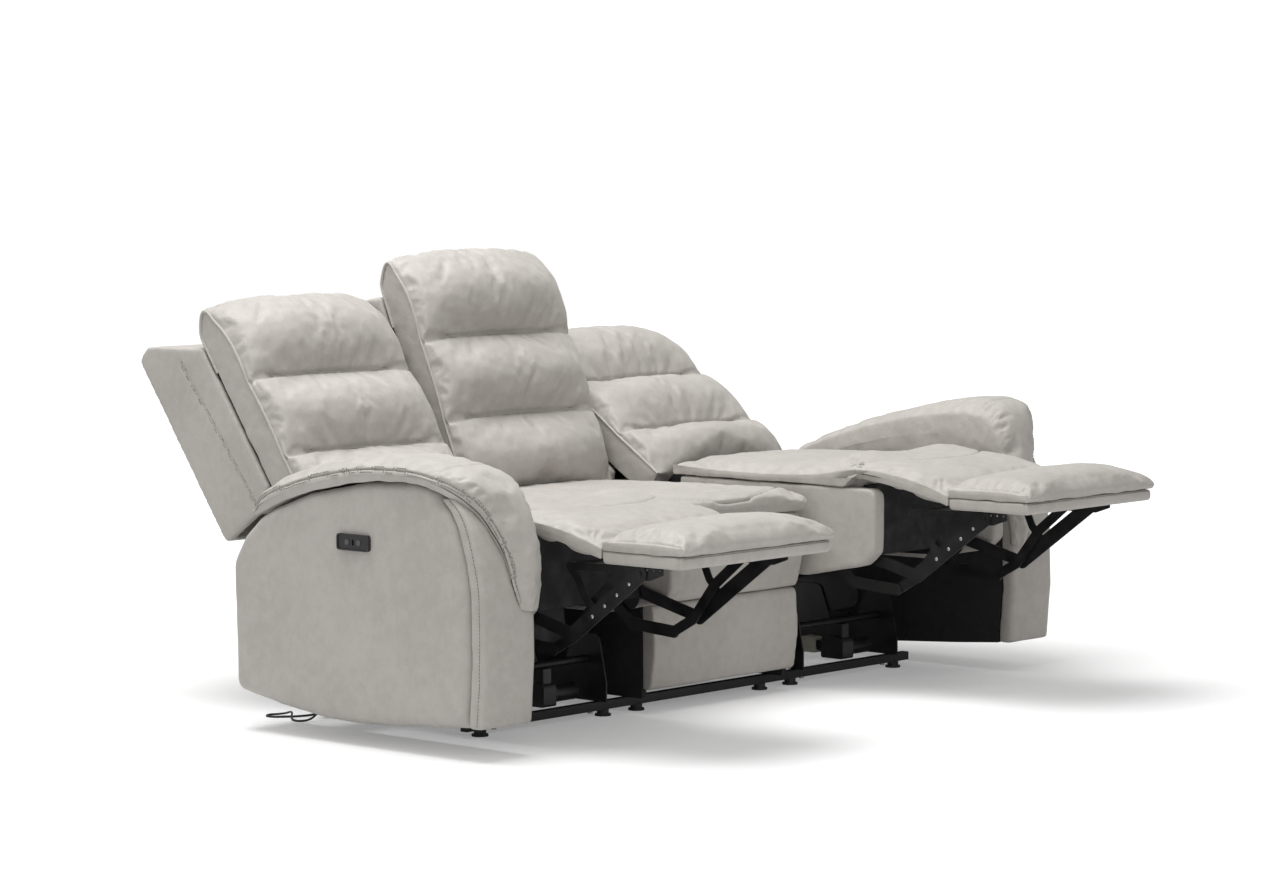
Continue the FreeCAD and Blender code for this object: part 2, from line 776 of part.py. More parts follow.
def arm_profile():
    """Outline of the arm behind its front panel."""
    front = [(depth + arm_front_depth, height) for height, depth in arm_front_line]
    top = [(-345.0, 590.0)] + arm_top_line
    return front + top + arm_lower_line


def arm_front_shape():
    """Front panel of an arm, its corners rounded in plan, following the curve of the front."""
    wires = []
    radius = arm_corner
    slant = radius * (1.0 - math.sqrt(0.5))
    for height, depth in arm_front_line:
        rear = depth + arm_front_depth - 0.5
        corners = [
            (arm_inner_x, rear), (arm_inner_x, depth + radius), (arm_inner_x + radius, depth),
            (arm_outer_x - radius, depth), (arm_outer_x, depth + radius), (arm_outer_x, rear),
        ]
        at = [Vector(x, y, height) for x, y in corners]
        inner_mid = Vector(arm_inner_x + slant, depth + slant, height)
        outer_mid = Vector(arm_outer_x - slant, depth + slant, height)
        edges = [
            Part.LineSegment(at[0], at[1]).toShape(),
            Part.Arc(at[1], inner_mid, at[2]).toShape(),
            Part.LineSegment(at[2], at[3]).toShape(),
            Part.Arc(at[3], outer_mid, at[4]).toShape(),
            Part.LineSegment(at[4], at[5]).toShape(),
            Part.LineSegment(at[5], at[0]).toShape(),
        ]
        wires.append(Part.Wire(edges))
    return Part.makeLoft(wires, True, True)


def arms():
    profile = arm_profile()
    panel_inner = arm_inner_x + arm_frame_board
    crown_from = arm_outer_x - arm_crown
    outer = slab(profile, panel_inner, crown_from)
    wires = [outline(profile, crown_from), outline(inset(profile, arm_crown), arm_outer_x + arm_bulge)]
    crown = Part.makeLoft(wires, True, True)
    cavity = slab(inset(profile, arm_wall), panel_inner - 1.0, arm_outer_x - arm_wall)
    seat_of_pad = arm_pad_shape(soft_gap)
    panel = outer.fuse(crown).cut(cavity).cut(seat_of_pad)
    keep("arm_side_panels", both_sides(panel))
    frame = slab(profile, arm_inner_x, panel_inner).cut(seat_of_pad)
    keep("arm_frames", both_sides(frame))
    keep("arm_front_panels", both_sides(arm_front_shape().cut(seat_of_pad)))
    keep("arm_top_pads", both_sides(arm_pad_shape(0.0)))


# Arm pad from its rear end to the end of the drape: underside, top, inner and outer side
arm_pad_stations = [
    ((232.0, 486.0), (245.0, 504.0), 880.0, 1016.0),
    ((172.0, 508.0), (192.0, 553.0), 862.0, 1036.0),
    ((50.0, 548.0), (62.0, 599.0), 857.0, 1042.0),
    ((-130.0, 583.0), (-122.0, 640.0), 855.0, 1045.0),
    ((-280.0, 592.0), (-280.0, 654.0), 855.0, 1045.0),
    ((-356.0, 578.0), (-375.0, 641.0), 855.0, 1042.0),
    ((-396.0, 552.0), (-434.0, 598.0), 855.0, 1016.0),
    ((-432.0, 505.0), (-472.0, 534.0), 856.0, 980.0),
    ((-462.0, 440.0), (-497.0, 455.0), 858.0, 950.0),
    ((-474.0, 372.0), (-502.0, 375.0), 861.0, 932.0),
    ((-478.0, 322.0), (-494.0, 316.0), 868.0, 910.0),
]


def arm_pad_shape(grow):
    """The pad as a ruled loft along its path, its underside lowered by grow."""
    wires = []
    for under, top, inner, outer in arm_pad_stations:
        low = Vector(0, under[0], under[1])
        high = Vector(0, top[0], top[1])
        normal = high.sub(low)
        height = normal.Length
        normal.normalize()
        low = low.sub(normal * grow)
        width = Vector((outer - inner) / 2.0 + grow, 0, 0)
        centre = low.add(Vector((outer + inner) / 2.0, 0, 0))
        low_in = centre.sub(width * 0.98)
        low_out = centre.add(width * 0.98)
        side = normal * (height * 0.45)
        shoulder = normal * (height * 0.84)
        crest = normal * height
        edges = [
            Part.LineSegment(low_in, low_out).toShape(),
            Part.Arc(low_out, centre.add(width).add(side), centre.add(width * 0.88).add(shoulder)).toShape(),
            Part.Arc(
                centre.add(width * 0.88).add(shoulder), centre.add(crest),
                centre.sub(width * 0.88).add(shoulder),
            ).toShape(),
            Part.Arc(centre.sub(width * 0.88).add(shoulder), centre.sub(width).add(side), low_in).toShape(),
        ]
        wires.append(Part.Wire(edges))
    return Part.makeLoft(wires, True, True)


# Control panel on the outer side of each arm
def controls():
    face = arm_outer_x + arm_bulge
    y0 = bezel_y - bezel_length / 2
    y1 = bezel_y + bezel_length / 2
    z0 = bezel_z - bezel_height / 2
    z1 = bezel_z + bezel_height / 2
    points = [(y0, z0, 7.0), (y1, z0, 7.0), (y1, z1, 7.0), (y0, z1, 7.0)]
    bezel = slab(points, face, face + bezel_depth)
    dish = slab(inset(points, bezel_wall), face + bezel_depth - 2.0, face + bezel_depth + 1.0)
    bezel = bezel.cut(dish)
    places = {"rear": bezel_y + button_spacing / 2, "front": bezel_y - button_spacing / 2}
    for y in places.values():
        bezel = bezel.cut(rod((y, bezel_z), button_radius + button_fit, face + 1.0, face + bezel_depth + 1.0))
    half = socket_size / 2
    socket_hole = box(face + 2.0, face + bezel_depth + 1.0, bezel_y - half / 2, bezel_y + half / 2,
                      bezel_z - half, bezel_z + half)
    bezel = bezel.cut(socket_hole)
    keep("control_bezels", both_sides(bezel))
    for name, y in places.items():
        button = rod((y, bezel_z), button_radius, face + 1.0 + button_travel + button_fit,
                     face + bezel_depth - 0.5)
        right, left = both_sides(button)
        keep("left_" + name + "_button", [left])
        keep("right_" + name + "_button", [right])


# Power lead: a route of straight runs and tangent arcs, and a coil of two layers
lead_route = [
    (-733.0, 232.0, 50.0), (-771.0, 232.0, 50.0), (-808.0, 235.0, 37.0), (-829.0, 238.0, 16.0),
    (-851.0, 241.0, 4.0), (-872.0, 252.0, 2.6), (-870.0, 278.0, 2.6), (-852.0, 300.0, 6.0),
    (-837.0, 313.0, 12.6), (-829.0, 328.0, 12.6), (-820.0, 348.0, 6.6), (-824.0, 370.0, 2.6),
    (-842.0, 382.0, 2.6), (-866.0, 373.0, 2.6), (-865.0, 347.0, 2.6), (-842.0, 326.0, 2.6),
    (-812.0, 306.0, 2.6), (-776.0, 302.0, 2.6), (-738.0, 318.0, 2.6), (-694.0, 348.0, 2.6),
    (-646.0, 370.0, 2.6), (-597.0, 368.0, 2.6), (-548.0, 364.1, 2.6), (-502.0, 364.1, 2.6),
]


def rounded_route(points):
    """Straight runs joined by tangent arcs, as large as the runs allow."""
    places = [Vector(*p) for p in points]
    edges = []
    radii = []
    start = places[0]
    for i in range(1, len(places) - 1):
        back = places[i - 1].sub(places[i])
        ahead = places[i + 1].sub(places[i])
        half_turn = (math.pi - back.getAngle(ahead)) / 2.0
        radius = 0.45 * min(back.Length, ahead.Length) / math.tan(half_turn)
        reach = radius * math.tan(half_turn)
        back.normalize()
        ahead.normalize()
        bisector = back.add(ahead)
        bisector.normalize()
        into = places[i].add(back * reach)
        out = places[i].add(ahead * reach)
        middle = places[i].add(bisector * (radius / math.cos(half_turn) - radius))
        edges.append(Part.LineSegment(start, into).toShape())
        edges.append(Part.Arc(into, middle, out).toShape())
        radii.append(round(radius, 1))
        start = out
    edges.append(Part.LineSegment(start, places[-1]).toShape())
    return Part.Wire(edges), radii


def tube_along(wire, start, direction, diameter):
    ring = Part.Wire([Part.Circle(start, direction, diameter / 2.0).toShape()])
    return wire.makePipeShell([ring], True, False)


def biarc(start, start_way, end, end_way):
    """Two arcs that leave start along start_way and reach end along end_way."""
    span = end.sub(start)
    ways = start_way.add(end_way)
    spread = 1.0 - start_way.dot(end_way)
    along = span.dot(ways)
    reach = (-along + math.sqrt(along * along + 2.0 * spread * span.dot(span))) / (2.0 * spread)
    joint = (start.add(start_way * reach).add(end.sub(end_way * reach))) * 0.5
    first = arc_from(start, start_way, joint)
    second = arc_from(end, end_way * -1.0, joint)
    backward = Part.Arc(joint, second[1], end).toShape()
    return [Part.Arc(start, first[1], joint).toShape(), backward]


def arc_from(start, way, end):
    chord = end.sub(start)
    unit = Vector(chord)
    unit.normalize()
    normal = way.sub(unit * way.dot(unit))
    turn = math.acos(max(-1.0, min(1.0, way.dot(unit))))
    normal.normalize()
    sagitta = chord.Length / 2.0 * math.tan(turn / 2.0)
    return (start, start.add(end).multiply(0.5).add(normal * sagitta), end)


def coil_point(turn):
    """Place on the coil after a number of turns: in on the floor layer, out on the layer above."""
    total = 2.0 * coil_turns
    inward = turn if turn <= coil_turns else total - turn
    radius = coil_mean_radius + coil_pitch * (coil_turns / 2.0 - inward)
    climb = min(max((turn - (coil_turns - 0.25)) / 0.5, 0.0), 1.0)
    height = lead_diameter / 2.0 + 0.1 + coil_pitch * climb
    angle = 2.0 * math.pi * turn - math.pi / 2.0
    x = coil_centre[0] + radius * math.cos(angle)
    y = coil_centre[1] + radius * math.sin(angle)
    return Vector(x, y, height)


def coil_way(turn):
    step = 0.01
    way = coil_point(turn + step).sub(coil_point(turn - step))
    way.normalize()
    return way


def lead_coil():
    """The coil as one tube, with a straight run at each end."""
    start = Vector(*lead_route[-1])
    total = 2 * coil_turns
    first = coil_point(0.0)
    edges = [Part.LineSegment(start, first).toShape()]
    quarters = 4 * total
    level = Vector(1, 0, 0)
    for i in range(quarters):
        here = coil_point(i / 4.0)
        there = coil_point((i + 1) / 4.0)
        way_here = level if i == 0 else coil_way(i / 4.0)
        way_there = level if i == quarters - 1 else coil_way((i + 1) / 4.0)
        edges += biarc(here, way_here, there, way_there)
    last = coil_point(float(total))
    end = last.add(level * coil_tail)
    edges.append(Part.LineSegment(last, end).toShape())
    wire = Part.Wire(edges)
    places = [coil_point(i / 40.0) for i in range(40 * total + 1)]
    least = lead_diameter
    for i in range(len(places)):
        for j in range(i + 20, len(places)):
            least = min(least, places[i].distanceToPoint(places[j]) - lead_diameter)
    print("coil least gap between turns", round(least, 2), "length", round(wire.Length, 1))
    coil = tube_along(wire, start, level, lead_diameter)
    section = math.pi * lead_diameter * lead_diameter / 4.0
    print("coil volume over section times length", coil.Volume / (section * wire.Length))
    keep("power_lead_coil", [coil])
    return end


def lead_plug(start):
    """Moulded plug with two blades, lying on the floor at the end of the coil."""
    body = Part.makeBox(plug_length, plug_width, 2.0 * start.z - 0.2)
    body.translate(Vector(start.x, start.y - plug_width / 2, 0.1))
    body = body.makeFillet(4.0, [e for e in body.Edges if e.Length > plug_length - 0.1])
    keep("power_plug", [body])
    for side in (-1.0, 1.0):
        centre_y = start.y + side * blade_spacing / 2
        blade = box(
            start.x + plug_length, start.x + plug_length + blade_length,
            centre_y - blade_thickness / 2, centre_y + blade_thickness / 2,
            start.z - blade_width / 2, start.z + blade_width / 2,
        )
        keep("power_plug", [blade])


def power_lead():
    wire, radii = rounded_route(lead_route)
    start = Vector(*lead_route[0])
    way = Vector(*lead_route[1]).sub(start)
    tube = tube_along(wire, start, way, lead_diameter)
    section = math.pi * lead_diameter * lead_diameter / 4.0
    print("lead radii", radii)
    print("lead tube volume over section times length", tube.Volume / (section * wire.Length))
    print("lead tube length", round(wire.Length, 1))
    keep("power_lead", [tube])
    way.normalize()
    behind = start.sub(way * relief_inside)
    relief = Part.makeCone(relief_root, relief_tip, relief_length, behind, way)
    collar = Part.makeCylinder(relief_root + 3.0, 3.0, behind, way)
    bore = Part.makeCylinder(lead_diameter / 2.0, relief_length, start, way)
    keep("lead_strain_relief", [relief.fuse(collar).removeSplitter().cut(bore)])
    lead_plug(lead_coil())


def main():
    standing_base()
    fixed_mechanism(left_x)
    fixed_mechanism(right_x)
    recliner("left", left_x, 0.0, recline_left)
    recliner("right", right_x, right_glide, recline_right)
    middle_seat()
    arms()
    controls()
    power_lead()
    for label, turns in (
        ("upper and wide links", link_turns(upper_link_pivot, upper_link_knee, wide_link_pivot)),
        ("lower and narrow links", link_turns(lower_link_pivot, lower_link_knee, narrow_link_pivot)),
    ):
        print(label, "turn by", [round(t, 3) for t in turns[:2]], "knee in at", turns[2])
    os.makedirs("parts", exist_ok=True)
    for name, solids in nodes.items():
        shape = solids[0] if len(solids) == 1 else Part.makeCompound(solids)
        shape.exportStep("parts/" + name + ".step")
    print(len(nodes), "nodes")
    whole = Part.makeCompound([s for solids in nodes.values() for s in solids])
    print("box", whole.BoundBox)
    for name, solids in nodes.items():
        for solid in solids:
            if not solid.isValid() or len(solid.Solids) != 1 or solid.Volume <= 0:
                print("look at", name, solid.isValid(), len(solid.Solids), solid.Volume)


main()
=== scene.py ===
import json
import math
import bmesh
import bpy
import numpy as np
from mathutils import Matrix, Vector, noise
from mathutils.bvhtree import BVHTree


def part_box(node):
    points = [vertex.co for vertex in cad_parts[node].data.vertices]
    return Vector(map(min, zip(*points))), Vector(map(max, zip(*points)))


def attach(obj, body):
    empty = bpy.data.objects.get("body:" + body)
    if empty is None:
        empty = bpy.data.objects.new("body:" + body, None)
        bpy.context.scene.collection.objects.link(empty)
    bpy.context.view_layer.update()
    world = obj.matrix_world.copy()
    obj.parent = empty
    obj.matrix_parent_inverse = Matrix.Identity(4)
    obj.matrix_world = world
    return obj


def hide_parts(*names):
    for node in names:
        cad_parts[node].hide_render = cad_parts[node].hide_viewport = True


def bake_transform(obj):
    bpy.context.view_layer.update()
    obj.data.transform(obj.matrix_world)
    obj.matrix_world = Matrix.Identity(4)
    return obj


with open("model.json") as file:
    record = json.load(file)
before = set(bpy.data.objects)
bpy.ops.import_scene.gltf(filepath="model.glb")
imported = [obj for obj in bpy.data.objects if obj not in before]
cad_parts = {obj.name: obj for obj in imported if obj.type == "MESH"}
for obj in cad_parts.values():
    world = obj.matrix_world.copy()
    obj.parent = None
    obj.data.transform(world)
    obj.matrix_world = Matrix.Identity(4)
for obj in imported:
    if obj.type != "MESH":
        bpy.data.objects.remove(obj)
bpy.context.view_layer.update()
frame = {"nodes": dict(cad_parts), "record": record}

nodes = frame["nodes"]
scene = bpy.context.scene
scene.view_settings.view_transform = "Standard"

# Camera: the photograph's viewing angle, a long lens from the near left of the sofa.
# It is level to within a tenth of a degree and has no shift.
azimuth, elevation, roll = math.radians(-48.408), math.radians(4.433), math.radians(-0.112)
back = Vector((
    math.sin(azimuth) * math.cos(elevation), -math.cos(azimuth) * math.cos(elevation),
    math.sin(elevation)))
right = (-back).cross(Vector((0, 0, 1))).normalized()
up = right.cross(-back)
level_right = math.cos(roll) * right + math.sin(roll) * up
level_up = math.cos(roll) * up - math.sin(roll) * right
camera = bpy.data.objects.new("camera", bpy.data.cameras.new("camera"))
camera.data.lens = 108.43
camera.data.sensor_width = 36.0
camera.data.clip_end = 60.0
turn = Matrix((level_right, level_up, back)).transposed().to_4x4()
look_at, distance = Vector((-0.053, -0.015, 0.611)), 9.147
camera.matrix_world = Matrix.Translation(look_at + back * distance) @ turn
scene.collection.objects.link(camera)
scene.camera = camera

# Mains lead: thin black rubber cord out of the near rear base plate. It drops to the floor,
# makes one small loop behind the arm, runs inward and ends in a coil with its plug.
lead_diameter = 0.005
floor_lie = 0.0026
lead_points = [
    (-0.733, 0.277, 0.050), (-0.771, 0.277, 0.050), (-0.808, 0.280, 0.037), (-0.829, 0.283, 0.016),
    (-0.851, 0.286, 0.0040), (-0.872, 0.297, 0.0026), (-0.870, 0.323, 0.0026), (-0.852, 0.345, 0.0060),
    (-0.837, 0.358, 0.0126), (-0.829, 0.373, 0.0126), (-0.820, 0.393, 0.0066), (-0.824, 0.415, 0.0026),
    (-0.842, 0.427, 0.0026), (-0.866, 0.418, 0.0026), (-0.865, 0.392, 0.0026), (-0.842, 0.371, 0.0026),
    (-0.812, 0.351, 0.0026), (-0.776, 0.347, 0.0026), (-0.738, 0.363, 0.0026), (-0.694, 0.393, 0.0026),
    (-0.646, 0.415, 0.0026), (-0.597, 0.413, 0.0026), (-0.548, 0.4091, 0.0026), (-0.502, 0.4091, 0.0026),
]
coil_centre, coil_radius, coil_pitch, coil_turns = (-0.470, 0.445), 0.0275, 0.0056, 3
coil_points = []
for step in range(2 * coil_turns * 12 + 1):
    turned = step / 12
    inward = min(turned, 2 * coil_turns - turned)
    radius = coil_radius + coil_pitch * (coil_turns / 2 - inward)
    climb = min(max((turned - coil_turns + 0.25) / 0.5, 0.0), 1.0)
    angle = 2 * math.pi * turned - math.pi / 2
    coil_points.append((
        coil_centre[0] + radius * math.cos(angle), coil_centre[1] + radius * math.sin(angle),
        floor_lie + coil_pitch * climb))
plug_run = 0.046
lead_end = (coil_points[-1][0] + plug_run, coil_points[-1][1], coil_points[-1][2])
lead_curve = bpy.data.curves.new("power_lead_cord", "CURVE")
lead_curve.dimensions = "3D"
lead_curve.bevel_depth = 1.0
lead_curve.bevel_resolution = 3
lead_curve.resolution_u = 8
lead_curve.use_fill_caps = True
line = lead_curve.splines.new("NURBS")
route = lead_points + coil_points + [lead_end]
line.points.add(len(route) - 1)
for point, place in zip(line.points, route):
    point.co = (*place, 1.0)
    point.radius = lead_diameter / 2
line.order_u = 3
line.use_endpoint_u = True
lead = bpy.data.objects.new("power_lead_cord", lead_curve)
scene.collection.objects.link(lead)
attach(lead, "base")
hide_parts("power_lead", "power_lead_coil")


# Black rubber of the cord, plug and grommets: moulded, matt, with a faint dusty bloom.
# Every moulded or painted finish below is built by the same small recipe.
def wear_group():
    """Broad mottling and fine tooth of a moulded or painted skin."""
    group = bpy.data.node_groups.new("factory_finish", "ShaderNodeTree")
    face = group.interface
    for label, kind, value in (("Tone", "NodeSocketColor", (0.5, 0.5, 0.5, 1)),
                               ("Spread", "NodeSocketFloat", 0.2), ("Gloss", "NodeSocketFloat", 0.5),
                               ("Tooth", "NodeSocketFloat", 900.0), ("Relief", "NodeSocketFloat", 0.1)):
        face.new_socket(label, in_out="INPUT", socket_type=kind).default_value = value
    for label, kind in (("Color", "NodeSocketColor"), ("Roughness", "NodeSocketFloat"),
                        ("Normal", "NodeSocketVector")):
        face.new_socket(label, in_out="OUTPUT", socket_type=kind)
    add, join = group.nodes.new, group.links.new
    given, out = add("NodeGroupInput"), add("NodeGroupOutput")
    place = add("ShaderNodeTexCoord")
    cloud = add("ShaderNodeTexNoise")
    cloud.inputs["Scale"].default_value = 24.0
    cloud.inputs["Detail"].default_value = 5.0
    join(place.outputs["Object"], cloud.inputs["Vector"])
    swing = add("ShaderNodeMapRange")
    swing.inputs["From Min"].default_value = 0.3
    swing.inputs["From Max"].default_value = 0.7
    join(cloud.outputs["Fac"], swing.inputs["Value"])
    low, high = add("ShaderNodeMath"), add("ShaderNodeMath")
    low.operation, high.operation = "SUBTRACT", "ADD"
    low.inputs[0].default_value = high.inputs[0].default_value = 1.0
    join(given.outputs["Spread"], low.inputs[1])
    join(given.outputs["Spread"], high.inputs[1])
    join(low.outputs[0], swing.inputs["To Min"])
    join(high.outputs[0], swing.inputs["To Max"])
    tint = add("ShaderNodeVectorMath")
    tint.operation = "SCALE"
    join(given.outputs["Tone"], tint.inputs[0])
    join(swing.outputs["Result"], tint.inputs["Scale"])
    join(tint.outputs["Vector"], out.inputs["Color"])
    rough = add("ShaderNodeMath")
    rough.operation = "MULTIPLY"
    join(given.outputs["Gloss"], rough.inputs[0])
    join(swing.outputs["Result"], rough.inputs[1])
    join(rough.outputs[0], out.inputs["Roughness"])
    tooth = add("ShaderNodeTexNoise")
    tooth.inputs["Detail"].default_value = 3.0
    join(place.outputs["Object"], tooth.inputs["Vector"])
    join(given.outputs["Tooth"], tooth.inputs["Scale"])
    bump = add("ShaderNodeBump")
    bump.inputs["Distance"].default_value = 0.0003
    join(given.outputs["Relief"], bump.inputs["Strength"])
    join(tooth.outputs["Fac"], bump.inputs["Height"])
    join(bump.outputs["Normal"], out.inputs["Normal"])
    return group


finish_group = wear_group()


def finish_material(name, tone, spread, gloss, tooth, relief, metallic=0.0):
    material = bpy.data.materials.new(name)
    material.use_nodes = True
    tree = material.node_tree
    shader = tree.nodes["Principled BSDF"]
    shader.inputs["Metallic"].default_value = metallic
    finish = tree.nodes.new("ShaderNodeGroup")
    finish.node_tree = finish_group
    finish.inputs["Tone"].default_value = (*tone, 1)
    for label, value in (("Spread", spread), ("Gloss", gloss), ("Tooth", tooth), ("Relief", relief)):
        finish.inputs[label].default_value = value
    tree.links.new(finish.outputs["Color"], shader.inputs["Base Color"])
    tree.links.new(finish.outputs["Roughness"], shader.inputs["Roughness"])
    tree.links.new(finish.outputs["Normal"], shader.inputs["Normal"])
    return material


def dress(names, material):
    for name in names:
        mesh = nodes[name].data
        mesh.materials.clear()
        mesh.materials.append(material)


cord_rubber = finish_material("black_cord_rubber", (0.012, 0.012, 0.013), 0.25, 0.5, 1500, 0.15)
lead_curve.materials.append(cord_rubber)
dress(["power_plug", "lead_strain_relief"], cord_rubber)

# Floor and light: a wide white floor that keeps the sofa's soft shadow and pales away from it, a
# broad lamp overhead and a weaker one from the front left, and an even white surround.
surround_level = 0.48
floor_glow = ((1.6, 0.24), (4.5, 0.75))
world = bpy.data.worlds.new("studio")
scene.world = world
world.use_nodes = True
tree = world.node_tree
surround = tree.nodes["Background"]
surround.inputs["Color"].default_value = (1, 1, 1, 1)
seen = tree.nodes.new("ShaderNodeLightPath")
either = tree.nodes.new("ShaderNodeMath")
either.operation = "MAXIMUM"
either.inputs[1].default_value = 0.0
tree.links.new(seen.outputs["Is Camera Ray"], either.inputs[0])
tree.links.new(seen.outputs["Is Transmission Ray"], either.inputs[1])
white = tree.nodes.new("ShaderNodeBackground")
white.inputs["Color"].default_value = (1, 1, 1, 1)
white.inputs["Strength"].default_value = 1.0
surround.inputs["Strength"].default_value = surround_level
choose = tree.nodes.new("ShaderNodeMixShader")
tree.links.new(either.outputs[0], choose.inputs[0])
tree.links.new(surround.outputs[0], choose.inputs[1])
tree.links.new(white.outputs[0], choose.inputs[2])
tree.links.new(choose.outputs[0], tree.nodes["World Output"].inputs["Surface"])

bm = bmesh.new()
bmesh.ops.create_grid(bm, x_segments=1, y_segments=1, size=14.0)
floor = bpy.data.objects.new("studio_floor", bpy.data.meshes.new("studio_floor"))
bm.to_mesh(floor.data)
bm.free()
scene.collection.objects.link(floor)
floor_paint = bpy.data.materials.new("white_floor")
floor_paint.use_nodes = True
tree = floor_paint.node_tree
paint = tree.nodes["Principled BSDF"]
paint.inputs["Base Color"].default_value = (0.8, 0.8, 0.8, 1)
paint.inputs["Roughness"].default_value = 0.9
seen = tree.nodes.new("ShaderNodeLightPath")
lift = tree.nodes.new("ShaderNodeEmission")
lift.inputs["Color"].default_value = (1, 1, 1, 1)
spot = tree.nodes.new("ShaderNodeTexCoord")
away = tree.nodes.new("ShaderNodeVectorMath")
away.operation = "LENGTH"
tree.links.new(spot.outputs["Object"], away.inputs[0])
outward = tree.nodes.new("ShaderNodeMapRange")
for end, (reach, glow) in zip(("Min", "Max"), floor_glow):
    outward.inputs["From " + end].default_value = reach
    outward.inputs["To " + end].default_value = glow
tree.links.new(away.outputs["Value"], outward.inputs["Value"])
boost = tree.nodes.new("ShaderNodeMath")
boost.operation = "MULTIPLY"
tree.links.new(outward.outputs["Result"], boost.inputs[1])
tree.links.new(seen.outputs["Is Camera Ray"], boost.inputs[0])
tree.links.new(boost.outputs[0], lift.inputs["Strength"])
both = tree.nodes.new("ShaderNodeAddShader")
tree.links.new(paint.outputs[0], both.inputs[0])
tree.links.new(lift.outputs[0], both.inputs[1])
tree.links.new(both.outputs[0], tree.nodes["Material Output"].inputs["Surface"])
floor.data.materials.append(floor_paint)


def lamp(name, place, target, size, energy):
    light = bpy.data.lights.new(name, "AREA")
    light.shape = "SQUARE"
    light.size = size
    light.energy = energy
    holder = bpy.data.objects.new(name, light)
    scene.collection.objects.link(holder)
    aim = (Vector(target) - Vector(place)).to_track_quat("-Z", "Y")
    holder.matrix_world = Matrix.Translation(place) @ aim.to_matrix().to_4x4()


lamp("overhead_lamp", (-0.9, 0.5, 4.4), (0.0, 0.0, 0.4), 3.2, 215)
lamp("front_lamp", (-3.4, -4.6, 2.8), (0.0, 0.0, 0.5), 3.0, 40)


# Leather of every cushion, pad and panel: pale warm grey hide with cloudy mottling,
# a fine pebble grain and small dry creases. Its pattern runs on across the seams.
def hide_group():
    group = bpy.data.node_groups.new("grey_hide", "ShaderNodeTree")
    face = group.interface
    for label, kind, value in (("Deep", "NodeSocketColor", (0.392, 0.370, 0.340, 1)),
                               ("Pale", "NodeSocketColor", (0.448, 0.424, 0.392, 1)),
                               ("Grain", "NodeSocketFloat", 620.0), ("Relief", "NodeSocketFloat", 0.3)):
        face.new_socket(label, in_out="INPUT", socket_type=kind).default_value = value
    for label, kind in (("Color", "NodeSocketColor"), ("Roughness", "NodeSocketFloat"),
                        ("Normal", "NodeSocketVector")):
        face.new_socket(label, in_out="OUTPUT", socket_type=kind)
    add, join = group.nodes.new, group.links.new
    given, out, place = add("NodeGroupInput"), add("NodeGroupOutput"), add("ShaderNodeTexCoord")
    broad, cloudy = add("ShaderNodeTexNoise"), add("ShaderNodeTexNoise")
    for texture, scale, detail, rough in ((broad, 5.0, 3.0, 0.5), (cloudy, 38.0, 6.0, 0.62)):
        texture.inputs["Scale"].default_value = scale
        texture.inputs["Detail"].default_value = detail
        texture.inputs["Roughness"].default_value = rough
        join(place.outputs["Object"], texture.inputs["Vector"])
    blend = add("ShaderNodeMix")
    blend.data_type = "FLOAT"
    blend.inputs["Factor"].default_value = 0.55
    join(broad.outputs["Fac"], blend.inputs["A"])
    join(cloudy.outputs["Fac"], blend.inputs["B"])
    swing = add("ShaderNodeMapRange")
    swing.interpolation_type = "SMOOTHSTEP"
    swing.inputs["From Min"].default_value = 0.34
    swing.inputs["From Max"].default_value = 0.64
    join(blend.outputs["Result"], swing.inputs["Value"])
    tint = add("ShaderNodeMix")
    tint.data_type = "RGBA"
    join(swing.outputs["Result"], tint.inputs["Factor"])
    join(given.outputs["Deep"], tint.inputs["A"])
    join(given.outputs["Pale"], tint.inputs["B"])
    join(tint.outputs["Result"], out.inputs["Color"])
    rough = add("ShaderNodeMapRange")
    rough.inputs["To Min"].default_value = 0.62
    rough.inputs["To Max"].default_value = 0.5
    join(cloudy.outputs["Fac"], rough.inputs["Value"])
    join(rough.outputs["Result"], out.inputs["Roughness"])
    pebble = add("ShaderNodeTexVoronoi")
    pebble.feature = "SMOOTH_F1"
    join(place.outputs["Object"], pebble.inputs["Vector"])
    join(given.outputs["Grain"], pebble.inputs["Scale"])
    dry = add("ShaderNodeTexNoise")
    dry.inputs["Scale"].default_value = 95.0
    dry.inputs["Detail"].default_value = 5.0
    dry.inputs["Distortion"].default_value = 1.2
    join(place.outputs["Object"], dry.inputs["Vector"])
    fine, coarse = add("ShaderNodeBump"), add("ShaderNodeBump")
    fine.inputs["Distance"].default_value = 0.0004
    coarse.inputs["Distance"].default_value = 0.0022
    coarse.inputs["Strength"].default_value = 0.35
    join(given.outputs["Relief"], fine.inputs["Strength"])
    join(pebble.outputs["Distance"], fine.inputs["Height"])
    join(dry.outputs["Fac"], coarse.inputs["Height"])
    join(coarse.outputs["Normal"], fine.inputs["Normal"])
    join(fine.outputs["Normal"], out.inputs["Normal"])
    return group


leather_group = hide_group()
leather = bpy.data.materials.new("grey_leather")
leather.use_nodes = True
tree = leather.node_tree
skin = tree.nodes["Principled BSDF"]
skin.inputs["Sheen Weight"].default_value = 0.12
skin.inputs["Sheen Roughness"].default_value = 0.5
hide = tree.nodes.new("ShaderNodeGroup")
hide.node_tree = leather_group
for label in ("Color", "Roughness", "Normal"):
    tree.links.new(hide.outputs[label], skin.inputs["Base Color" if label == "Color" else label])

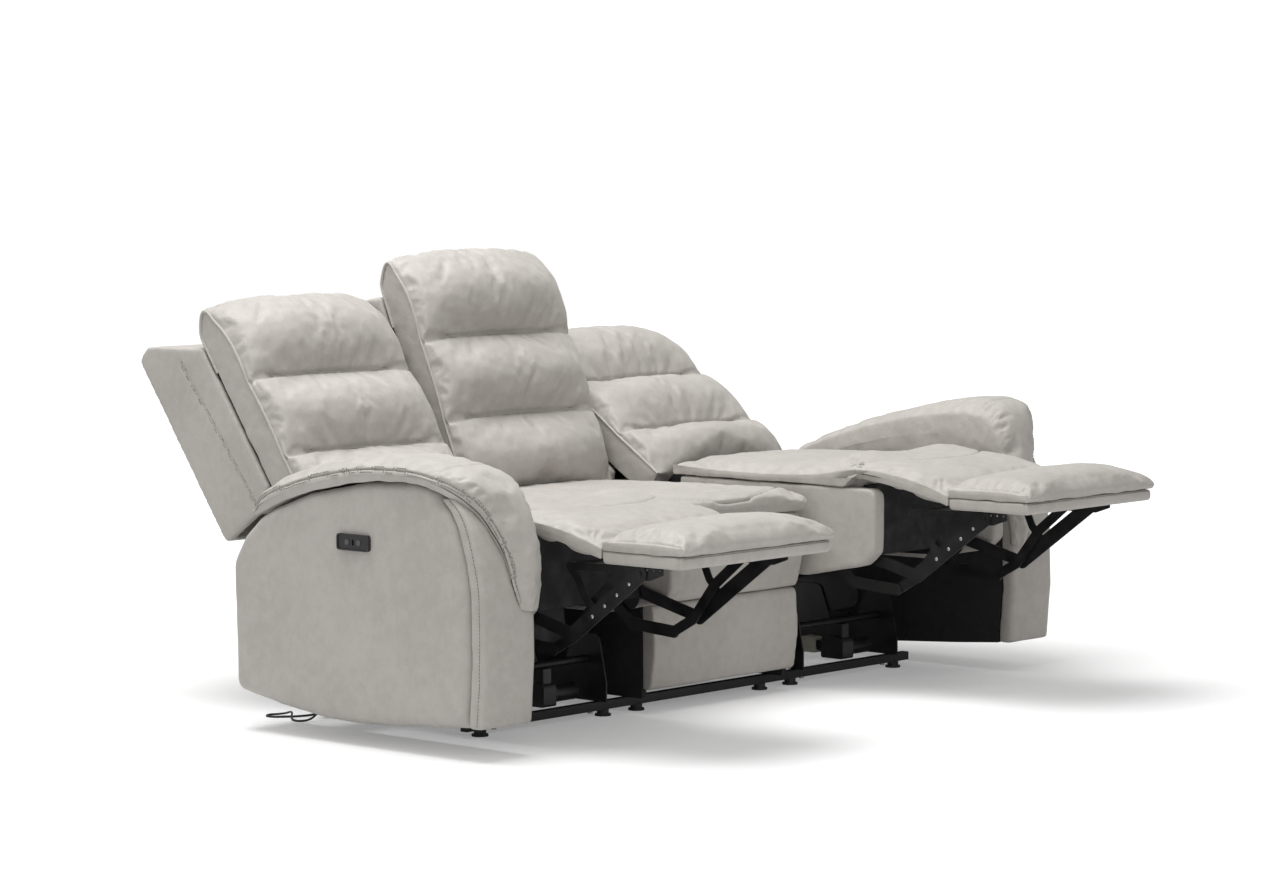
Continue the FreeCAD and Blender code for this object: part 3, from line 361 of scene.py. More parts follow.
# Back cushions: three stuffed leather cases, each with two sewn channels across its front, a
# headrest roll on top and plain gussets. The leather takes its own folds between its seams.
back_feet = {
    "left": (Vector((0.0, 0.300, 0.451)), 35.0, -0.544, 0.030),
    "middle": (Vector((0.0, 0.349, 0.481)), 22.5, 0.0, -0.014),
    "right": (Vector((0.0, 0.19497, 0.49408)), 57.0, 0.544, 0.026),
}


def lean(side, x, depth, height):
    """A place on a back: across the seat, behind its hinge line and up along it."""
    foot, angle, middle_x, low = back_feet[side]
    c, s = math.cos(math.radians(angle)), math.sin(math.radians(angle))
    return Vector((middle_x + x, foot.y + depth * c + height * s, foot.z - depth * s + height * c))


def bowed(start, middle, end, share):
    """A point on the shallow bow from start through middle to end."""
    pull = [2 * m - (a + b) / 2 for a, m, b in zip(start, middle, end)]
    return [(1 - share) ** 2 * a + 2 * share * (1 - share) * p + share * share * b
            for a, p, b in zip(start, pull, end)]


def keep_mesh(bm, name, material):
    """Makes a piece of a finished bmesh."""
    for face in bm.faces:
        face.smooth = True
    piece = bpy.data.objects.new(name, bpy.data.meshes.new(name))
    bm.to_mesh(piece.data)
    bm.free()
    piece.data.materials.append(material)
    scene.collection.objects.link(piece)
    return piece


def sew_case(name, bows, cells, across, width, sewn=(), cap=8, body=None, close=0.0):
    """Rolls a grid of leather into a closed case. bows(a) lists the bows of its outline at a share
    a of the half width, cells the grid cells on each, and width(i, y) its middle and half width;
    it is held down where the bows numbered in sewn start, and its ends are gathered shut."""
    around = sum(cells)
    outlines = {}

    def outline(a):
        if a not in outlines:
            points = []
            pieces = bows(a)
            for k, (start, middle) in enumerate(pieces):
                end = pieces[(k + 1) % len(pieces)][0]
                if middle is None:
                    middle = [(p + q) / 2 for p, q in zip(start, end)]
                points += [bowed(start, middle, end, i / cells[k]) for i in range(cells[k])]
            outlines[a] = points
        return outlines[a]

    bm = bmesh.new()
    bmesh.ops.create_grid(bm, x_segments=around, y_segments=across + 2 * cap, size=1.0)
    hold = bm.verts.layers.float.new("hold")
    for v in bm.verts:
        i = round((v.co.x + 1) / 2 * around) % around
        j = round((v.co.y + 1) / 2 * (across + 2 * cap)) - cap
        t = 2 * min(max(j / across, 0.0), 1.0) - 1
        a = t * (1.2 - 0.2 * t * t)
        points = outline(round(a, 6))
        y, z = points[i]
        beyond = max(-j, j - across, 0) / cap
        far = points[-i % around]
        mid = ((y + far[0]) / 2, (z + far[1]) / 2)
        beyond = beyond ** 1.4
        middle, half = width(i, y)
        x = middle + a * half + math.copysign(close * math.sqrt(beyond), a) * (beyond > 0)
        v.co = (x, y + (mid[0] - y) * beyond, z + (mid[1] - z) * beyond)
        v[hold] = 1.0 if abs(a) > 0.999 else 0.0
        if i in [sum(cells[:k]) for k in sewn] and abs(a) < 0.66:
            v[hold] = max(v[hold], 0.98)
    bmesh.ops.remove_doubles(bm, verts=bm.verts, dist=0.00002)
    bmesh.ops.recalc_face_normals(bm, faces=bm.faces)
    piece = keep_mesh(bm, name, leather)
    if body:
        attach(piece, body)
    return piece


def hold_where(piece, lies):
    """Holds the points of a case for which lies(place) is true."""
    hold = piece.data.attributes["hold"].data
    for v in piece.data.vertices:
        if lies(v.co):
            hold[v.index].value = 1.0


def places(piece):
    co = np.empty(len(piece.data.vertices) * 3)
    piece.data.vertices.foreach_get("co", co)
    return co.reshape(-1, 3)


def set_places(piece, co):
    piece.data.vertices.foreach_set("co", np.ascontiguousarray(co).reshape(-1))
    piece.data.update()


def facing(piece):
    normals = np.empty(len(piece.data.vertices) * 3)
    piece.data.vertices.foreach_get("normal", normals)
    return normals.reshape(-1, 3)


def settle(piece, pressure=3.0, growth=0.03, limit=0.014, frames=16, stiff=12.0):
    """Lets the leather find its folds under the stuffing, held where it is sewn or lies on something."""
    start = places(piece).copy()
    hold = np.empty(len(start))
    piece.data.attributes["hold"].data.foreach_get("value", hold)
    sewn = piece.vertex_groups.new(name="sewn")
    for value in np.unique(hold):
        sewn.add(np.nonzero(hold == value)[0].tolist(), float(value), "REPLACE")
    cloth = piece.modifiers.new("stuffing", "CLOTH")
    cloth.settings.quality = 4
    cloth.settings.mass = 0.5
    cloth.settings.tension_stiffness = stiff
    cloth.settings.compression_stiffness = stiff
    cloth.settings.shear_stiffness = stiff / 2
    cloth.settings.bending_stiffness = 1.5
    cloth.settings.use_pressure = True
    cloth.settings.uniform_pressure_force = pressure
    cloth.settings.vertex_group_mass = "sewn"
    cloth.settings.shrink_min = -growth
    cloth.settings.effector_weights.gravity = 0.0
    cloth.collision_settings.use_collision = False
    cloth.point_cache.frame_end = frames
    for frame_number in range(1, frames + 1):
        scene.frame_set(frame_number)
    shaped = piece.evaluated_get(bpy.context.evaluated_depsgraph_get()).data
    co = np.empty(len(start) * 3)
    shaped.vertices.foreach_get("co", co)
    moved = co.reshape(-1, 3) - start
    far = np.linalg.norm(moved, axis=1)
    moved *= np.minimum(1.0, limit / np.maximum(far, 1e-9))[:, None]
    piece.modifiers.remove(cloth)
    piece.vertex_groups.remove(sewn)
    scene.frame_set(1)
    set_places(piece, start + moved)


def refine(piece, kind="SUBSURF", **settings):
    """Adds one modifier, keeps its result as the mesh and drops the modifier."""
    modifier = piece.modifiers.new("refine", kind)
    for label, value in settings.items():
        setattr(modifier, label, value)
    mesh = bpy.data.meshes.new_from_object(
        piece.evaluated_get(bpy.context.evaluated_depsgraph_get()))
    piece.modifiers.remove(modifier)
    old = piece.data
    piece.data = mesh
    bpy.data.meshes.remove(old)
    mesh.name = piece.name
    mesh.polygons.foreach_set("use_smooth", np.ones(len(mesh.polygons), bool))


def surface(piece):
    return BVHTree.FromPolygons([v.co for v in piece.data.vertices],
                                [p.vertices for p in piece.data.polygons])


def drawn(skin_tree, line, pitch=0.004):
    """A line of points laid on a surface, evenly spaced, with the surface's normals."""
    line = [Vector(p) for p in line]
    curve = []
    for i in range(len(line) - 1):
        before = line[max(i - 1, 0)]
        after = line[min(i + 2, len(line) - 1)]
        steps = max(2, int((line[i + 1] - line[i]).length / pitch))
        for k in range(steps):
            t = k / steps
            p = ((line[i] * 2) + (line[i + 1] - before) * t
                 + (before * 2 - line[i] * 5 + line[i + 1] * 4 - after) * t * t
                 + (line[i] * 3 - before - line[i + 1] * 3 + after) * t ** 3) * 0.5
            curve.append(p)
    curve.append(line[-1])
    laid = []
    for p in curve:
        spot, normal, _, _ = skin_tree.find_nearest(p)
        laid.append((spot, normal))
    return laid


def press(piece, lines, depth=0.003, width=0.004, ends=0.0):
    """Draws seams, folds (depth above 0) or ridges (below 0) into a piece along lines near its
    surface. ends is the share of a line over which it fades out at each end."""
    co, normals = places(piece), facing(piece)
    shift = np.zeros(len(co))
    skin_tree = surface(piece)
    for line in lines:
        laid = drawn(skin_tree, line)
        track = np.array([p for p, n in laid])
        low, high = track.min(0) - 3 * width, track.max(0) + 3 * width
        near = np.nonzero(((co > low) & (co < high)).all(1))[0]
        if len(near) == 0:
            continue
        best, at = np.full(len(near), 1e9), np.zeros(len(near))
        for k in range(len(track) - 1):
            step = track[k + 1] - track[k]
            span = max(float(step @ step), 1e-12)
            t = np.clip((co[near] - track[k]) @ step / span, 0, 1)
            gap = np.linalg.norm(co[near] - track[k] - t[:, None] * step, axis=1)
            closer = gap < best
            best[closer] = gap[closer]
            at[closer] = (k + t[closer]) / (len(track) - 1)
        fade = np.ones(len(near)) if ends <= 0 else np.clip(np.minimum(at, 1 - at) / ends, 0, 1)
        mark = depth * fade * fade * (3 - 2 * fade) * np.exp(-(best / width) ** 2)
        stronger = np.abs(mark) > np.abs(shift[near])
        shift[near[stronger]] = mark[stronger]
    set_places(piece, co - normals * shift[:, None])


def pucker(piece, height, size, seed=0.0):
    """Soft uneven undulations of stuffed leather."""
    co, normals = places(piece), facing(piece)
    shift = np.empty(len(co))
    offset = Vector((seed, seed * 1.7, -seed))
    for k, p in enumerate(co):
        q = Vector(p)
        wave = noise.noise(q / size + offset) + 0.5 * noise.noise(q / (size * 0.45) - offset)
        shift[k] = height * wave
    set_places(piece, co + normals * shift[:, None])


thread = finish_material("grey_thread", (0.17, 0.16, 0.145), 0.1, 0.6, 2500, 0.2)


def stitch(name, piece, lines, body, apart=0.0, length=0.0048, gap=0.0022, thick=0.0008):
    """Rows of thread stitches on a surface, one row or two a little apart."""
    bm = bmesh.new()
    skin_tree = surface(piece)
    for line in lines:
        laid = drawn(skin_tree, line, 0.0012)
        spots = [p for p, n in laid]
        ups = [n for p, n in laid]
        run, turns = 0.0, []
        for k in range(1, len(spots) - 1):
            run += (spots[k] - spots[k - 1]).length
            if run >= length + gap:
                run = 0.0
                turns.append(k)
        for k in turns:
            along = (spots[min(k + 1, len(spots) - 1)] - spots[k - 1]).normalized()
            up = (ups[k] - along * ups[k].dot(along)).normalized()
            side = along.cross(up)
            for row in ((-0.5, 0.5) if apart else (0.0,)):
                place = spots[k] + side * (apart * row) + up * thick * 0.2
                turn = Matrix((side, up, along)).transposed().to_4x4()
                bmesh.ops.create_cone(
                    bm, cap_ends=True, segments=6, radius1=thick, radius2=thick, depth=length,
                    matrix=Matrix.Translation(place) @ turn)
    rows = keep_mesh(bm, name, thread)
    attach(rows, body)
    return rows


def piping(name, points, radius, body):
    """A leather-covered cord sewn into a seam."""
    curve = bpy.data.curves.new(name, "CURVE")
    curve.dimensions = "3D"
    curve.bevel_depth = radius
    curve.bevel_resolution = 3
    curve.resolution_u = 3
    curve.use_fill_caps = True
    spline = curve.splines.new("NURBS")
    spline.points.add(len(points) - 1)
    for point, place in zip(spline.points, points):
        point.co = (*place, 1.0)
    spline.order_u = 3
    spline.use_endpoint_u = True
    holder = bpy.data.objects.new(name, curve)
    scene.collection.objects.link(holder)
    mesh = bpy.data.meshes.new_from_object(
        holder.evaluated_get(bpy.context.evaluated_depsgraph_get()))
    bpy.data.objects.remove(holder)
    piece = bpy.data.objects.new(name, mesh)
    mesh.polygons.foreach_set("use_smooth", np.ones(len(mesh.polygons), bool))
    mesh.materials.clear()
    mesh.materials.append(leather)
    scene.collection.objects.link(piece)
    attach(piece, body)
    return piece


def eased(value, low, high):
    t = min(max((value - low) / (high - low), 0.0), 1.0)
    return t * t * (3 - 2 * t)


back_half = 0.259
channels = (0.188, 0.396)


def back_bows(side):
    low = back_feet[side][3]

    def bows(a):
        full = max(1 - abs(a) ** 2.7, 0.0) ** 0.56
        flat = 1 - 0.8 * eased(abs(a), 0.6, 0.94)
        crown = 0.007 - 0.056 * full
        dip = 0.048 * full * flat
        edge = 0.012
        sewn_down = crown + dip + 0.004 * (1 - full)
        top = 0.604 + 0.022 * full
        yz = [
            ((edge, low), (crown + 0.004, (low + channels[0]) / 2)),
            ((sewn_down, channels[0]), (crown - 0.003 * full, sum(channels) / 2)),
            ((sewn_down, channels[1]), (crown - 0.006 * full, 0.492)),
            ((crown + 0.020 + 0.004 * full, top - 0.030), (0.046, top + 0.004)),
            ((0.085, top - 0.040), None),
            ((0.085, low), None),
        ]
        placed = []
        for p, m in yz:
            p = lean(side, 0, *p)
            m = None if m is None else lean(side, 0, *m)
            placed.append(((p.y, p.z), None if m is None else (m.y, m.z)))
        return placed

    return bows


for side, body in (("left", "left_back"), ("middle", "base"), ("right", "right_back")):
    middle_x, low = back_feet[side][2:]
    case = sew_case(side + "_back_cushion_leather", back_bows(side), (24, 30, 28, 22, 40, 10), 80,
                    lambda i, y: (middle_x, back_half), sewn=(1, 2, 3, 4), body=body, close=0.003)
    foot, angle = back_feet[side][:2]
    behind = Vector((0, math.cos(math.radians(angle)), -math.sin(math.radians(angle))))
    hold_where(case, lambda p: (p - foot).dot(behind) > 0.05)
    settle(case, pressure=3.5, growth=0.035, limit=0.016)
    refine(case, levels=1, render_levels=1)
    seams, pleats, ridges = [], [], []
    for k, height in enumerate(channels):
        seams.append([lean(side, x, 0.0, height + 0.004 * (1 - (x / 0.19) ** 2)) for x in
                      (-0.185, -0.1, 0.0, 0.1, 0.185)])
        for way in (-1, 1):
            for drop, reach in ((-0.012, 0.258), (0.014, 0.246)):
                pleats.append([lean(side, way * 0.176, 0.0, height),
                               lean(side, way * 0.215, -0.01, height + drop * 0.4),
                               lean(side, way * reach, 0.008, height + drop)])
            for rise in (-0.055, 0.05):
                ridges.append([lean(side, way * 0.19, -0.01, height + rise * 0.2),
                               lean(side, way * 0.21, -0.03, height + rise)])
    press(case, seams, 0.0065, 0.0045, 0.06)
    press(case, [p for k, p in enumerate(pleats) if k % 2 == 0], 0.007, 0.006, 0.15)
    press(case, [p for k, p in enumerate(pleats) if k % 2], 0.003, 0.006, 0.3)
    press(case, ridges, -0.0025, 0.012, 0.4)
    pucker(case, 0.0022, 0.05, seed=middle_x * 7 + 1)
    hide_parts(side + "_back_cushion")
    stitch(side + "_back_channel_stitches", case, seams, body, apart=0.009)
    for way, tag in ((-1, "near"), (1, "far")):
        outline = []
        bows = back_bows(side)(1.0)
        for k in range(5):
            start, middle = bows[k]
            end = bows[k + 1][0]
            middle = middle or [(p + q) / 2 for p, q in zip(start, end)]
            share = 1.0 if k < 4 else 0.25
            steps = 10 if k < 4 else 4
            outline += [bowed(start, middle, end, share * i / steps) for i in range(steps)]
        line = [(middle_x + way * (back_half + 0.001), y, z) for y, z in outline]
        piping(side + "_back_piping_" + tag, line, 0.0036, body)

# Back shells: leather over a stapled board tub behind each back, with a twin row of stitches
# down each side.


def upholster(name, body, node, voxel=0.005, rounds=8, billow=0.0008, seed=3.0):
    """Leather drawn over a board form: the frame's shape remeshed, its edges eased and dimpled."""
    mesh = nodes[node].data.copy()
    bm = bmesh.new()
    bm.from_mesh(mesh)
    bmesh.ops.remove_doubles(bm, verts=bm.verts, dist=0.00005)
    bm.to_mesh(mesh)
    bm.free()
    cover = bpy.data.objects.new(name, mesh)
    scene.collection.objects.link(cover)
    refine(cover, "REMESH", mode="VOXEL", voxel_size=voxel)
    refine(cover, "SMOOTH", factor=0.5, iterations=rounds)
    pucker(cover, billow, 0.09, seed=seed)
    cover.data.materials.clear()
    cover.data.materials.append(leather)
    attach(cover, body)
    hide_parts(node)
    return cover


for side, body in (("left", "left_back"), ("middle", "base"), ("right", "right_back")):
    shell = upholster(side + "_back_shell_leather", body, side + "_back_shell", voxel=0.006)
    drop = 0.072 if side == "middle" else 0.0
    seams = [[lean(side, way * 0.268, 0.148 + 0.06 * (h - 0.13), h) for h in
              (0.13, 0.25, 0.36, 0.45, 0.555 - drop)] for way in (-1, 1)]
    press(shell, seams, 0.0028, 0.004)
    stitch(side + "_back_shell_stitches", shell, seams, body, apart=0.008)

# Seats: on each recliner one leather cover runs from the seat cushion on over the padded bridge
# to the footrest, with a curved seam across it. The middle seat rolls over a bull nose.
seat_half = 0.262
cushion_pitch = 0.544
recliners = (("left", -cushion_pitch, (0.0, 0.0)), ("right", cushion_pitch, (-0.10503, 0.04308)))
seam_x = (-0.256, -0.19, -0.12, -0.05, 0.0, 0.05, 0.12, 0.19, 0.256)


def shifted(bows, shift):
    """The bows of an outline moved to where that recliner's seat stands."""
    back_by, raised = shift
    return [((p[0] + back_by, p[1] + raised),
             None if m is None else (m[0] + back_by, m[1] + raised)) for p, m in bows]


def recliner_bows(shift):
    def bows(a):
        full = max(1 - abs(a) ** 3.2, 0.0) ** 0.6
        yz = [
            ((-0.5626, 0.427), None),
            ((-0.5626, 0.451 + 0.012 * full), (-0.430, 0.487 + 0.015 * full)),
            ((-0.300, 0.499 + 0.013 * full), (-0.250, 0.493 + 0.020 * full)),
            ((-0.190, 0.483 + 0.023 * full), (0.030, 0.475 + 0.019 * full)),
            ((0.278, 0.481 + 0.004 * full), None),
            ((0.278, 0.4566), None),
            ((-0.262, 0.4566), None),
            ((-0.272, 0.482), (-0.405, 0.463)),
        ]
        return shifted(yz, shift)

    return bows


for side, middle_x, shift in recliners:
    seat_y, seat_z = shift

    def seat_width(i, y):
        return middle_x, seat_half - 0.013 * eased(-(y - seat_y), 0.26, 0.34)

    cover = sew_case(side + "_seat_leather", recliner_bows(shift), (4, 36, 16, 52, 4, 60, 4, 34), 72,
                     seat_width, cap=6, body=None, close=0.002)
    hold_where(cover, lambda p: p.z - seat_z < 0.462 and p.y - seat_y > -0.3 or p.y - seat_y < -0.555)
    settle(cover, pressure=2.0, growth=0.03, limit=0.010)
    refine(cover, levels=1, render_levels=1)
    seam = [(middle_x + x, -0.392 + 0.118 * (x / 0.256) ** 2 + seat_y, 0.51 + seat_z)
            for x in seam_x]
    press(cover, [seam], 0.0042, 0.004)
    tucks = []
    for way in (-1, 1):
        for y, reach in ((-0.262, 0.07), (-0.283, 0.05), (-0.305, 0.035), (-0.545, 0.05), (-0.53, 0.03)):
            tucks.append([(middle_x + way * 0.252, y + seat_y, 0.50 + seat_z),
                          (middle_x + way * (0.252 - reach), y + 0.012 + seat_y, 0.51 + seat_z)])
        tucks.append([(middle_x + way * 0.16, -0.20 + seat_y, 0.52 + seat_z),
                      (middle_x + way * 0.235, -0.24 + seat_y, 0.51 + seat_z)])
    press(cover, tucks, 0.0042, 0.0065, 0.35)
    swells = [[(middle_x + way * 0.13, -0.15 + seat_y, 0.52 + seat_z),
               (middle_x + way * 0.15, -0.24 + seat_y, 0.52 + seat_z),
               (middle_x + way * 0.17, -0.33 + seat_y, 0.51 + seat_z)] for way in (-1, 1)]
    press(cover, swells, -0.014, 0.075, 0.5)
    pucker(cover, 0.0024, 0.06, seed=middle_x * 5 + 2)
    stitch(side + "_seat_seam_stitches", cover, [seam], side + "_seat")
    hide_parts(side + "_seat_cushion", side + "_chaise_pad")
    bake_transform(cover)


def middle_bows(a):
    full = max(1 - abs(a) ** 3.2, 0.0) ** 0.6
    return [
        ((-0.246, 0.4368), (-0.272 - 0.003 * full, 0.464 + 0.003 * full)),
        ((-0.205, 0.478 + 0.012 * full), (0.030, 0.468 + 0.019 * full)),
        ((0.368, 0.474), None),
        ((0.368, 0.4368), None),
    ]


seat = sew_case("middle_seat_leather", middle_bows, (14, 66, 5, 70), 72,
                lambda i, y: (0.0, seat_half - 0.001), cap=6, body="base", close=0.002)
hold_where(seat, lambda p: p.z < 0.438)
settle(seat, pressure=2.0, growth=0.03, limit=0.010)
refine(seat, levels=1, render_levels=1)
seam = [(x, -0.262 + 0.075 * (x / 0.256) ** 2, 0.475 + 0.016 * (x / 0.256) ** 2)
        for x in seam_x]
press(seat, [seam], 0.0042, 0.004)
pucker(seat, 0.0024, 0.06, seed=9)
stitch("middle_seat_seam_stitches", seat, [seam], "base")
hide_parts("middle_seat_cushion")

# Footrests: a plump leather pad on a leather-wrapped board, with a seam along the pad's sides, the
# wrap sewn up at the board's front corners and a stitched hem between the two.


def pad_bows(shift):
    def bows(a):
        full = max(1 - abs(a) ** 3.0, 0.0) ** 0.6
        yz = [
            ((-0.7915, 0.4476), (-0.801, 0.459 + 0.002 * full)),
            ((-0.790, 0.469 + 0.012 * full), (-0.690, 0.472 + 0.033 * full)),
            ((-0.5665, 0.467 + 0.012 * full), None),
            ((-0.5665, 0.4476), None),
        ]
        return shifted(yz, shift)

    return bows


for side, middle_x, shift in recliners:
    pad_y, pad_z = shift
    body = side + "_footrest"
    pad = sew_case(side + "_footrest_leather", pad_bows(shift), (6, 42, 4, 40), 76,
                   lambda i, y: (middle_x, 0.251), cap=6, body=body, close=0.003)
    hold_where(pad, lambda p: p.z - pad_z < 0.4484)
    settle(pad, pressure=3.0, growth=0.03, limit=0.008)
    refine(pad, levels=1, render_levels=1)
    rim = [[(middle_x + way * 0.2515, y + pad_y, 0.4690 + pad_z + 0.004 * math.sin(
        (y + 0.7915) / 0.225 * math.pi)) for y in (-0.785, -0.73, -0.68, -0.63, -0.572)] for way in (-1, 1)]
    press(pad, rim, 0.002, 0.003)
    gathers = [[(middle_x + way * 0.245, y + pad_y, 0.468 + pad_z),
                (middle_x + way * 0.222, y + 0.004 + pad_y, 0.476 + pad_z)]
               for way in (-1, 1) for y in (-0.60, -0.588, -0.578, -0.775)]
    press(pad, gathers, 0.0025, 0.004, 0.4)
    pucker(pad, 0.002, 0.055, seed=middle_x * 3 + 5)
    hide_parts(side + "_footrest_pad")
    board = upholster(side + "_footrest_board_leather", body, side + "_footrest_board",
                      voxel=0.004, rounds=4, billow=0.0005)
    joins = [[(middle_x + way * 0.251, -0.781 + pad_y, z + pad_z) for z in (0.420, 0.433, 0.446)]
             for way in (-1, 1)]
    press(board, joins, 0.0025, 0.003)
    hem = [[(middle_x - 0.245, -0.792 + pad_y, 0.4445 + pad_z), (middle_x, -0.793 + pad_y, 0.4445 + pad_z),
            (middle_x + 0.245, -0.792 + pad_y, 0.4445 + pad_z)]]
    stitch(side + "_footrest_hem_stitches", board, hem, body)

# Arms: a board box in drawn leather, a padded front panel sewn up its corner, and a long stuffed
# pad that runs over the top and down the inner front, twin-stitched along its outer side.
upholster("arm_side_leather", "base", "arm_side_panels", voxel=0.007, rounds=8, billow=0.0014)
arm_fronts = upholster("arm_front_leather", "base", "arm_front_panels", voxel=0.005, rounds=6, billow=0.001)
front_line = ((0.071, -0.431), (0.206, -0.441), (0.354, -0.439), (0.430, -0.425), (0.500, -0.402),
              (0.535, -0.380), (0.556, -0.356))
for way, tag in ((-1, "near"), (1, "far")):
    corner = [[(way * 1.030, y + 0.013, z) for z, y in front_line]]
    press(arm_fronts, corner, 0.0034, 0.0038)
    stitch("arm_corner_stitches_" + tag, arm_fronts, corner, "base")

pad_steps = 110
bend_at = 54
row_y = 0.045
seam_share = 0.60
arm_under = [(0.232, 0.486), (0.172, 0.508), (0.050, 0.548), (-0.130, 0.583), (-0.280, 0.590),
             (-0.356, 0.576), (-0.396, 0.550), (-0.432, 0.505), (-0.462, 0.440), (-0.474, 0.372),
             (-0.478, 0.322)]
arm_crest = {
    "near": [(0.245, 0.504), (0.192, 0.556), (0.062, 0.601), (-0.124, 0.633), (-0.280, 0.634),
             (-0.378, 0.619), (-0.440, 0.588), (-0.475, 0.534), (-0.498, 0.455), (-0.503, 0.375),
             (-0.494, 0.316)],
    "far": [(0.245, 0.504), (0.185, 0.538), (0.050, 0.588), (-0.130, 0.637), (-0.300, 0.668),
            (-0.402, 0.668), (-0.452, 0.634), (-0.480, 0.550), (-0.499, 0.455), (-0.503, 0.375),
            (-0.494, 0.316)],
}
arm_sides = [(0.880, 1.016), (0.862, 1.036), (0.857, 1.042), (0.855, 1.045), (0.855, 1.045),
             (0.855, 1.042), (0.855, 1.016), (0.856, 0.980), (0.858, 0.950), (0.861, 0.932),
             (0.868, 0.910)]


def flowing(points, count):
    """The same line through its points, smooth and evenly numbered."""
    points = [Vector((*p, 0.0)) for p in points]
    run = []
    for n in range(count + 1):
        place = n / count * (len(points) - 1)
        i = min(int(place), len(points) - 2)
        t = place - i
        a, b, c, d = (points[max(i - 1, 0)], points[i], points[i + 1], points[min(i + 2, len(points) - 1)])
        p = (b * 2 + (c - a) * t + (a * 2 - b * 5 + c * 4 - d) * t * t
             + (b * 3 - a - c * 3 + d) * t ** 3) * 0.5
        run.append((p.x, p.y))
    return run


for way, tag in ((-1, "near"), (1, "far")):
    steps = pad_steps
    crest, under = flowing(arm_crest[tag], steps), flowing(arm_under, steps)
    sides = flowing(arm_sides, steps)

    def arm_bows(a):
        full = max(1 - abs(a) ** 2.6, 0.0) ** 0.55
        line = []
        for k in range(steps + 1):
            low, high = under[k], crest[k]
            share = 0.66 + 0.34 * full
            line.append((low[0] + (high[0] - low[0]) * share + row_y, low[1] + (high[1] - low[1]) * share))
        inside = eased(-a * way, 0.90, 0.985)
        for k in range(steps, -1, -1):
            hang = 0.056 * inside * eased(k, 2, 14) * (1 - eased(k, 58, 76))
            line.append((under[k][0] + row_y, under[k][1] - hang))
        return [(p, None) for p in line]

    def arm_width(i, y):
        k = i if i <= steps else 2 * steps + 1 - i
        inner, outer = sides[min(max(k, 0), steps)]
        return way * (inner + outer) / 2, (outer - inner) / 2 * 0.985

    pad = sew_case("arm_pad_leather_" + tag, arm_bows, (1,) * (2 * steps + 2), 34, arm_width,
                   cap=5, body="base", close=0.006)
    hold_where(pad, lambda p: min(
        math.hypot(p.y - row_y - u[0], p.z - u[1]) for u in under[::3]) < 0.010)
    settle(pad, pressure=2.5, growth=0.03, limit=0.007)
    refine(pad, levels=1, render_levels=1)
    row = []
    for k in range(2, steps - 1, 4):
        low, high = under[k], crest[k]
        row.append((way * (sides[k][1] + 0.008), low[0] + (high[0] - low[0]) * seam_share + row_y,
                    low[1] + (high[1] - low[1]) * seam_share))
    press(pad, [row], 0.0034, 0.0035)
    (inner, outer), top = sides[bend_at], crest[bend_at]
    bend = [(way * (inner + outer) / 2 + way * off * (outer - inner) / 2,
             top[0] + row_y + 0.012 * abs(off), top[1] - 0.004 - 0.03 * max(abs(off) - 0.8, 0))
            for off in (-0.98, -0.6, -0.2, 0.2, 0.6, 0.98)]
    press(pad, [bend], 0.003, 0.004)
    gathers = []
    for k in range(56, 96, 4):
        low, high = under[k], crest[k]
        for edge in (-1, 1):
            inner, outer = sides[k]
            middle, half = (inner + outer) / 2, (outer - inner) / 2
            gathers.append([
                (way * (middle + edge * half * 0.93), low[0] + (high[0] - low[0]) * 0.8 + row_y,
                 low[1] + (high[1] - low[1]) * 0.8),
                (way * (middle + edge * half * 0.62), high[0] + row_y, high[1] - 0.006)])
    press(pad, gathers, 0.0018, 0.0045, 0.35)
    pucker(pad, 0.0022, 0.05, seed=way * 4)
    stitch("arm_pad_stitches_" + tag, pad, [row], "base", apart=0.007)
    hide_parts("arm_top_pads")

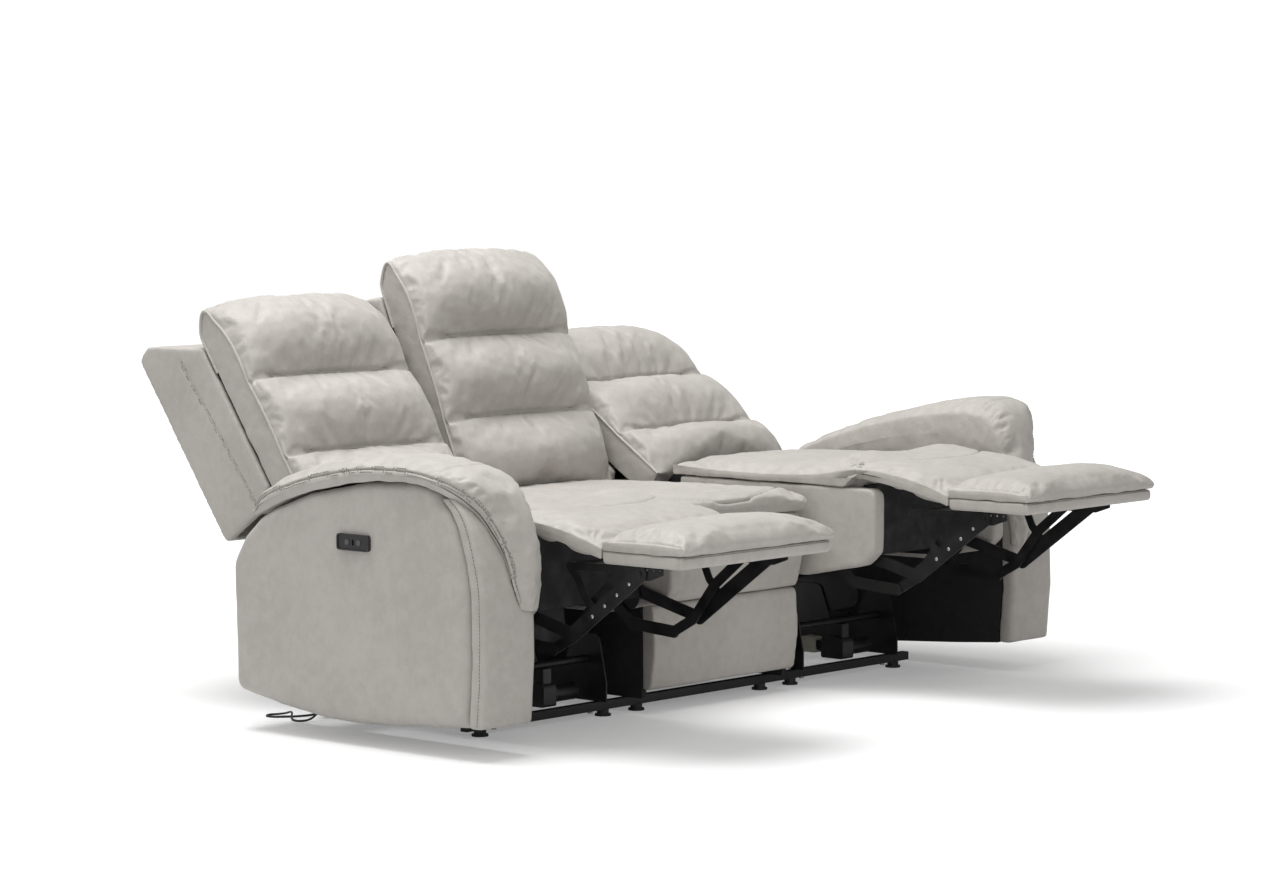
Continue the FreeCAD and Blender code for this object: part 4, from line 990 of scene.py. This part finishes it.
# Seat sides and middle front: leather drawn over curved boards, one pair under each recliner seat
# and two panels, with the split between them, below the middle seat.
for side in ("left", "right"):
    upholster(side + "_fascia_leather", side + "_seat", side + "_seat_fascias",
              voxel=0.005, rounds=8, billow=0.0015)
lower = upholster("middle_lower_leather", "base", "middle_lower_panel", voxel=0.004, rounds=6)
press(lower, [[(0.0, -0.25, z) for z in (0.06, 0.12, 0.18, 0.25)]], 0.0024, 0.003)
upholster("middle_upper_leather", "base", "middle_upper_panel", voxel=0.004, rounds=6)

# Frames and mechanism: pressed and welded steel under a slightly uneven black powder coat, with
# zinc-plated screws, moulded plastic fittings and black dust cloth over the boards.
black_steel = finish_material("black_powder_coat", (0.016, 0.016, 0.017), 0.3, 0.42, 1400, 0.25, metallic=0.3)
zinc_steel = finish_material("zinc_plate", (0.55, 0.55, 0.56), 0.12, 0.32, 700, 0.12, metallic=1.0)
black_plastic = finish_material("black_moulding", (0.018, 0.018, 0.019), 0.2, 0.4, 1100, 0.12)
grey_plastic = finish_material("grey_button", (0.075, 0.078, 0.082), 0.12, 0.36, 1300, 0.08)
pale_plastic = finish_material("drive_nut_nylon", (0.42, 0.40, 0.33), 0.1, 0.45, 1000, 0.08)
dust_cloth = finish_material("black_dust_cloth", (0.014, 0.014, 0.015), 0.3, 0.85, 1900, 0.6)
finishes = {"black_steel": black_steel, "zinc_steel": zinc_steel, "black_plastic": black_plastic,
            "grey_plastic": grey_plastic, "nut_plastic": pale_plastic, "board": dust_cloth,
            "cord_rubber": cord_rubber, "leather": leather}
for part in frame["record"]["subparts"]:
    dress([part["node"]], finishes[part["material_slot"]])

# Rivets down the wide footrest links: bright zinc heads, domed by the press, four on the outer
# face of each link.
link_end = 0.018
link_steel = 0.003
rivet_radius = 0.0045
rivet_shares = (0.16, 0.34, 0.52, 0.70)
for side in ("left", "right"):
    low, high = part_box(side + "_wide_front_links")
    bm = bmesh.new()
    for face_x in (low[0] + link_steel, high[0] - link_steel):
        for share in rivet_shares:
            y = low[1] + link_end + (high[1] - low[1] - 2 * link_end) * share
            z = high[2] - link_end - (high[2] - low[2] - 2 * link_end) * share
            bmesh.ops.create_uvsphere(
                bm, u_segments=12, v_segments=8, radius=rivet_radius,
                matrix=Matrix.Translation((face_x, y, z)) @ Matrix.Diagonal((0.45, 1, 1, 1)))
    rivets = keep_mesh(bm, side + "_link_rivets", zinc_steel)
    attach(rivets, side + "_wide_front_links")

bpy.context.view_layer.update()
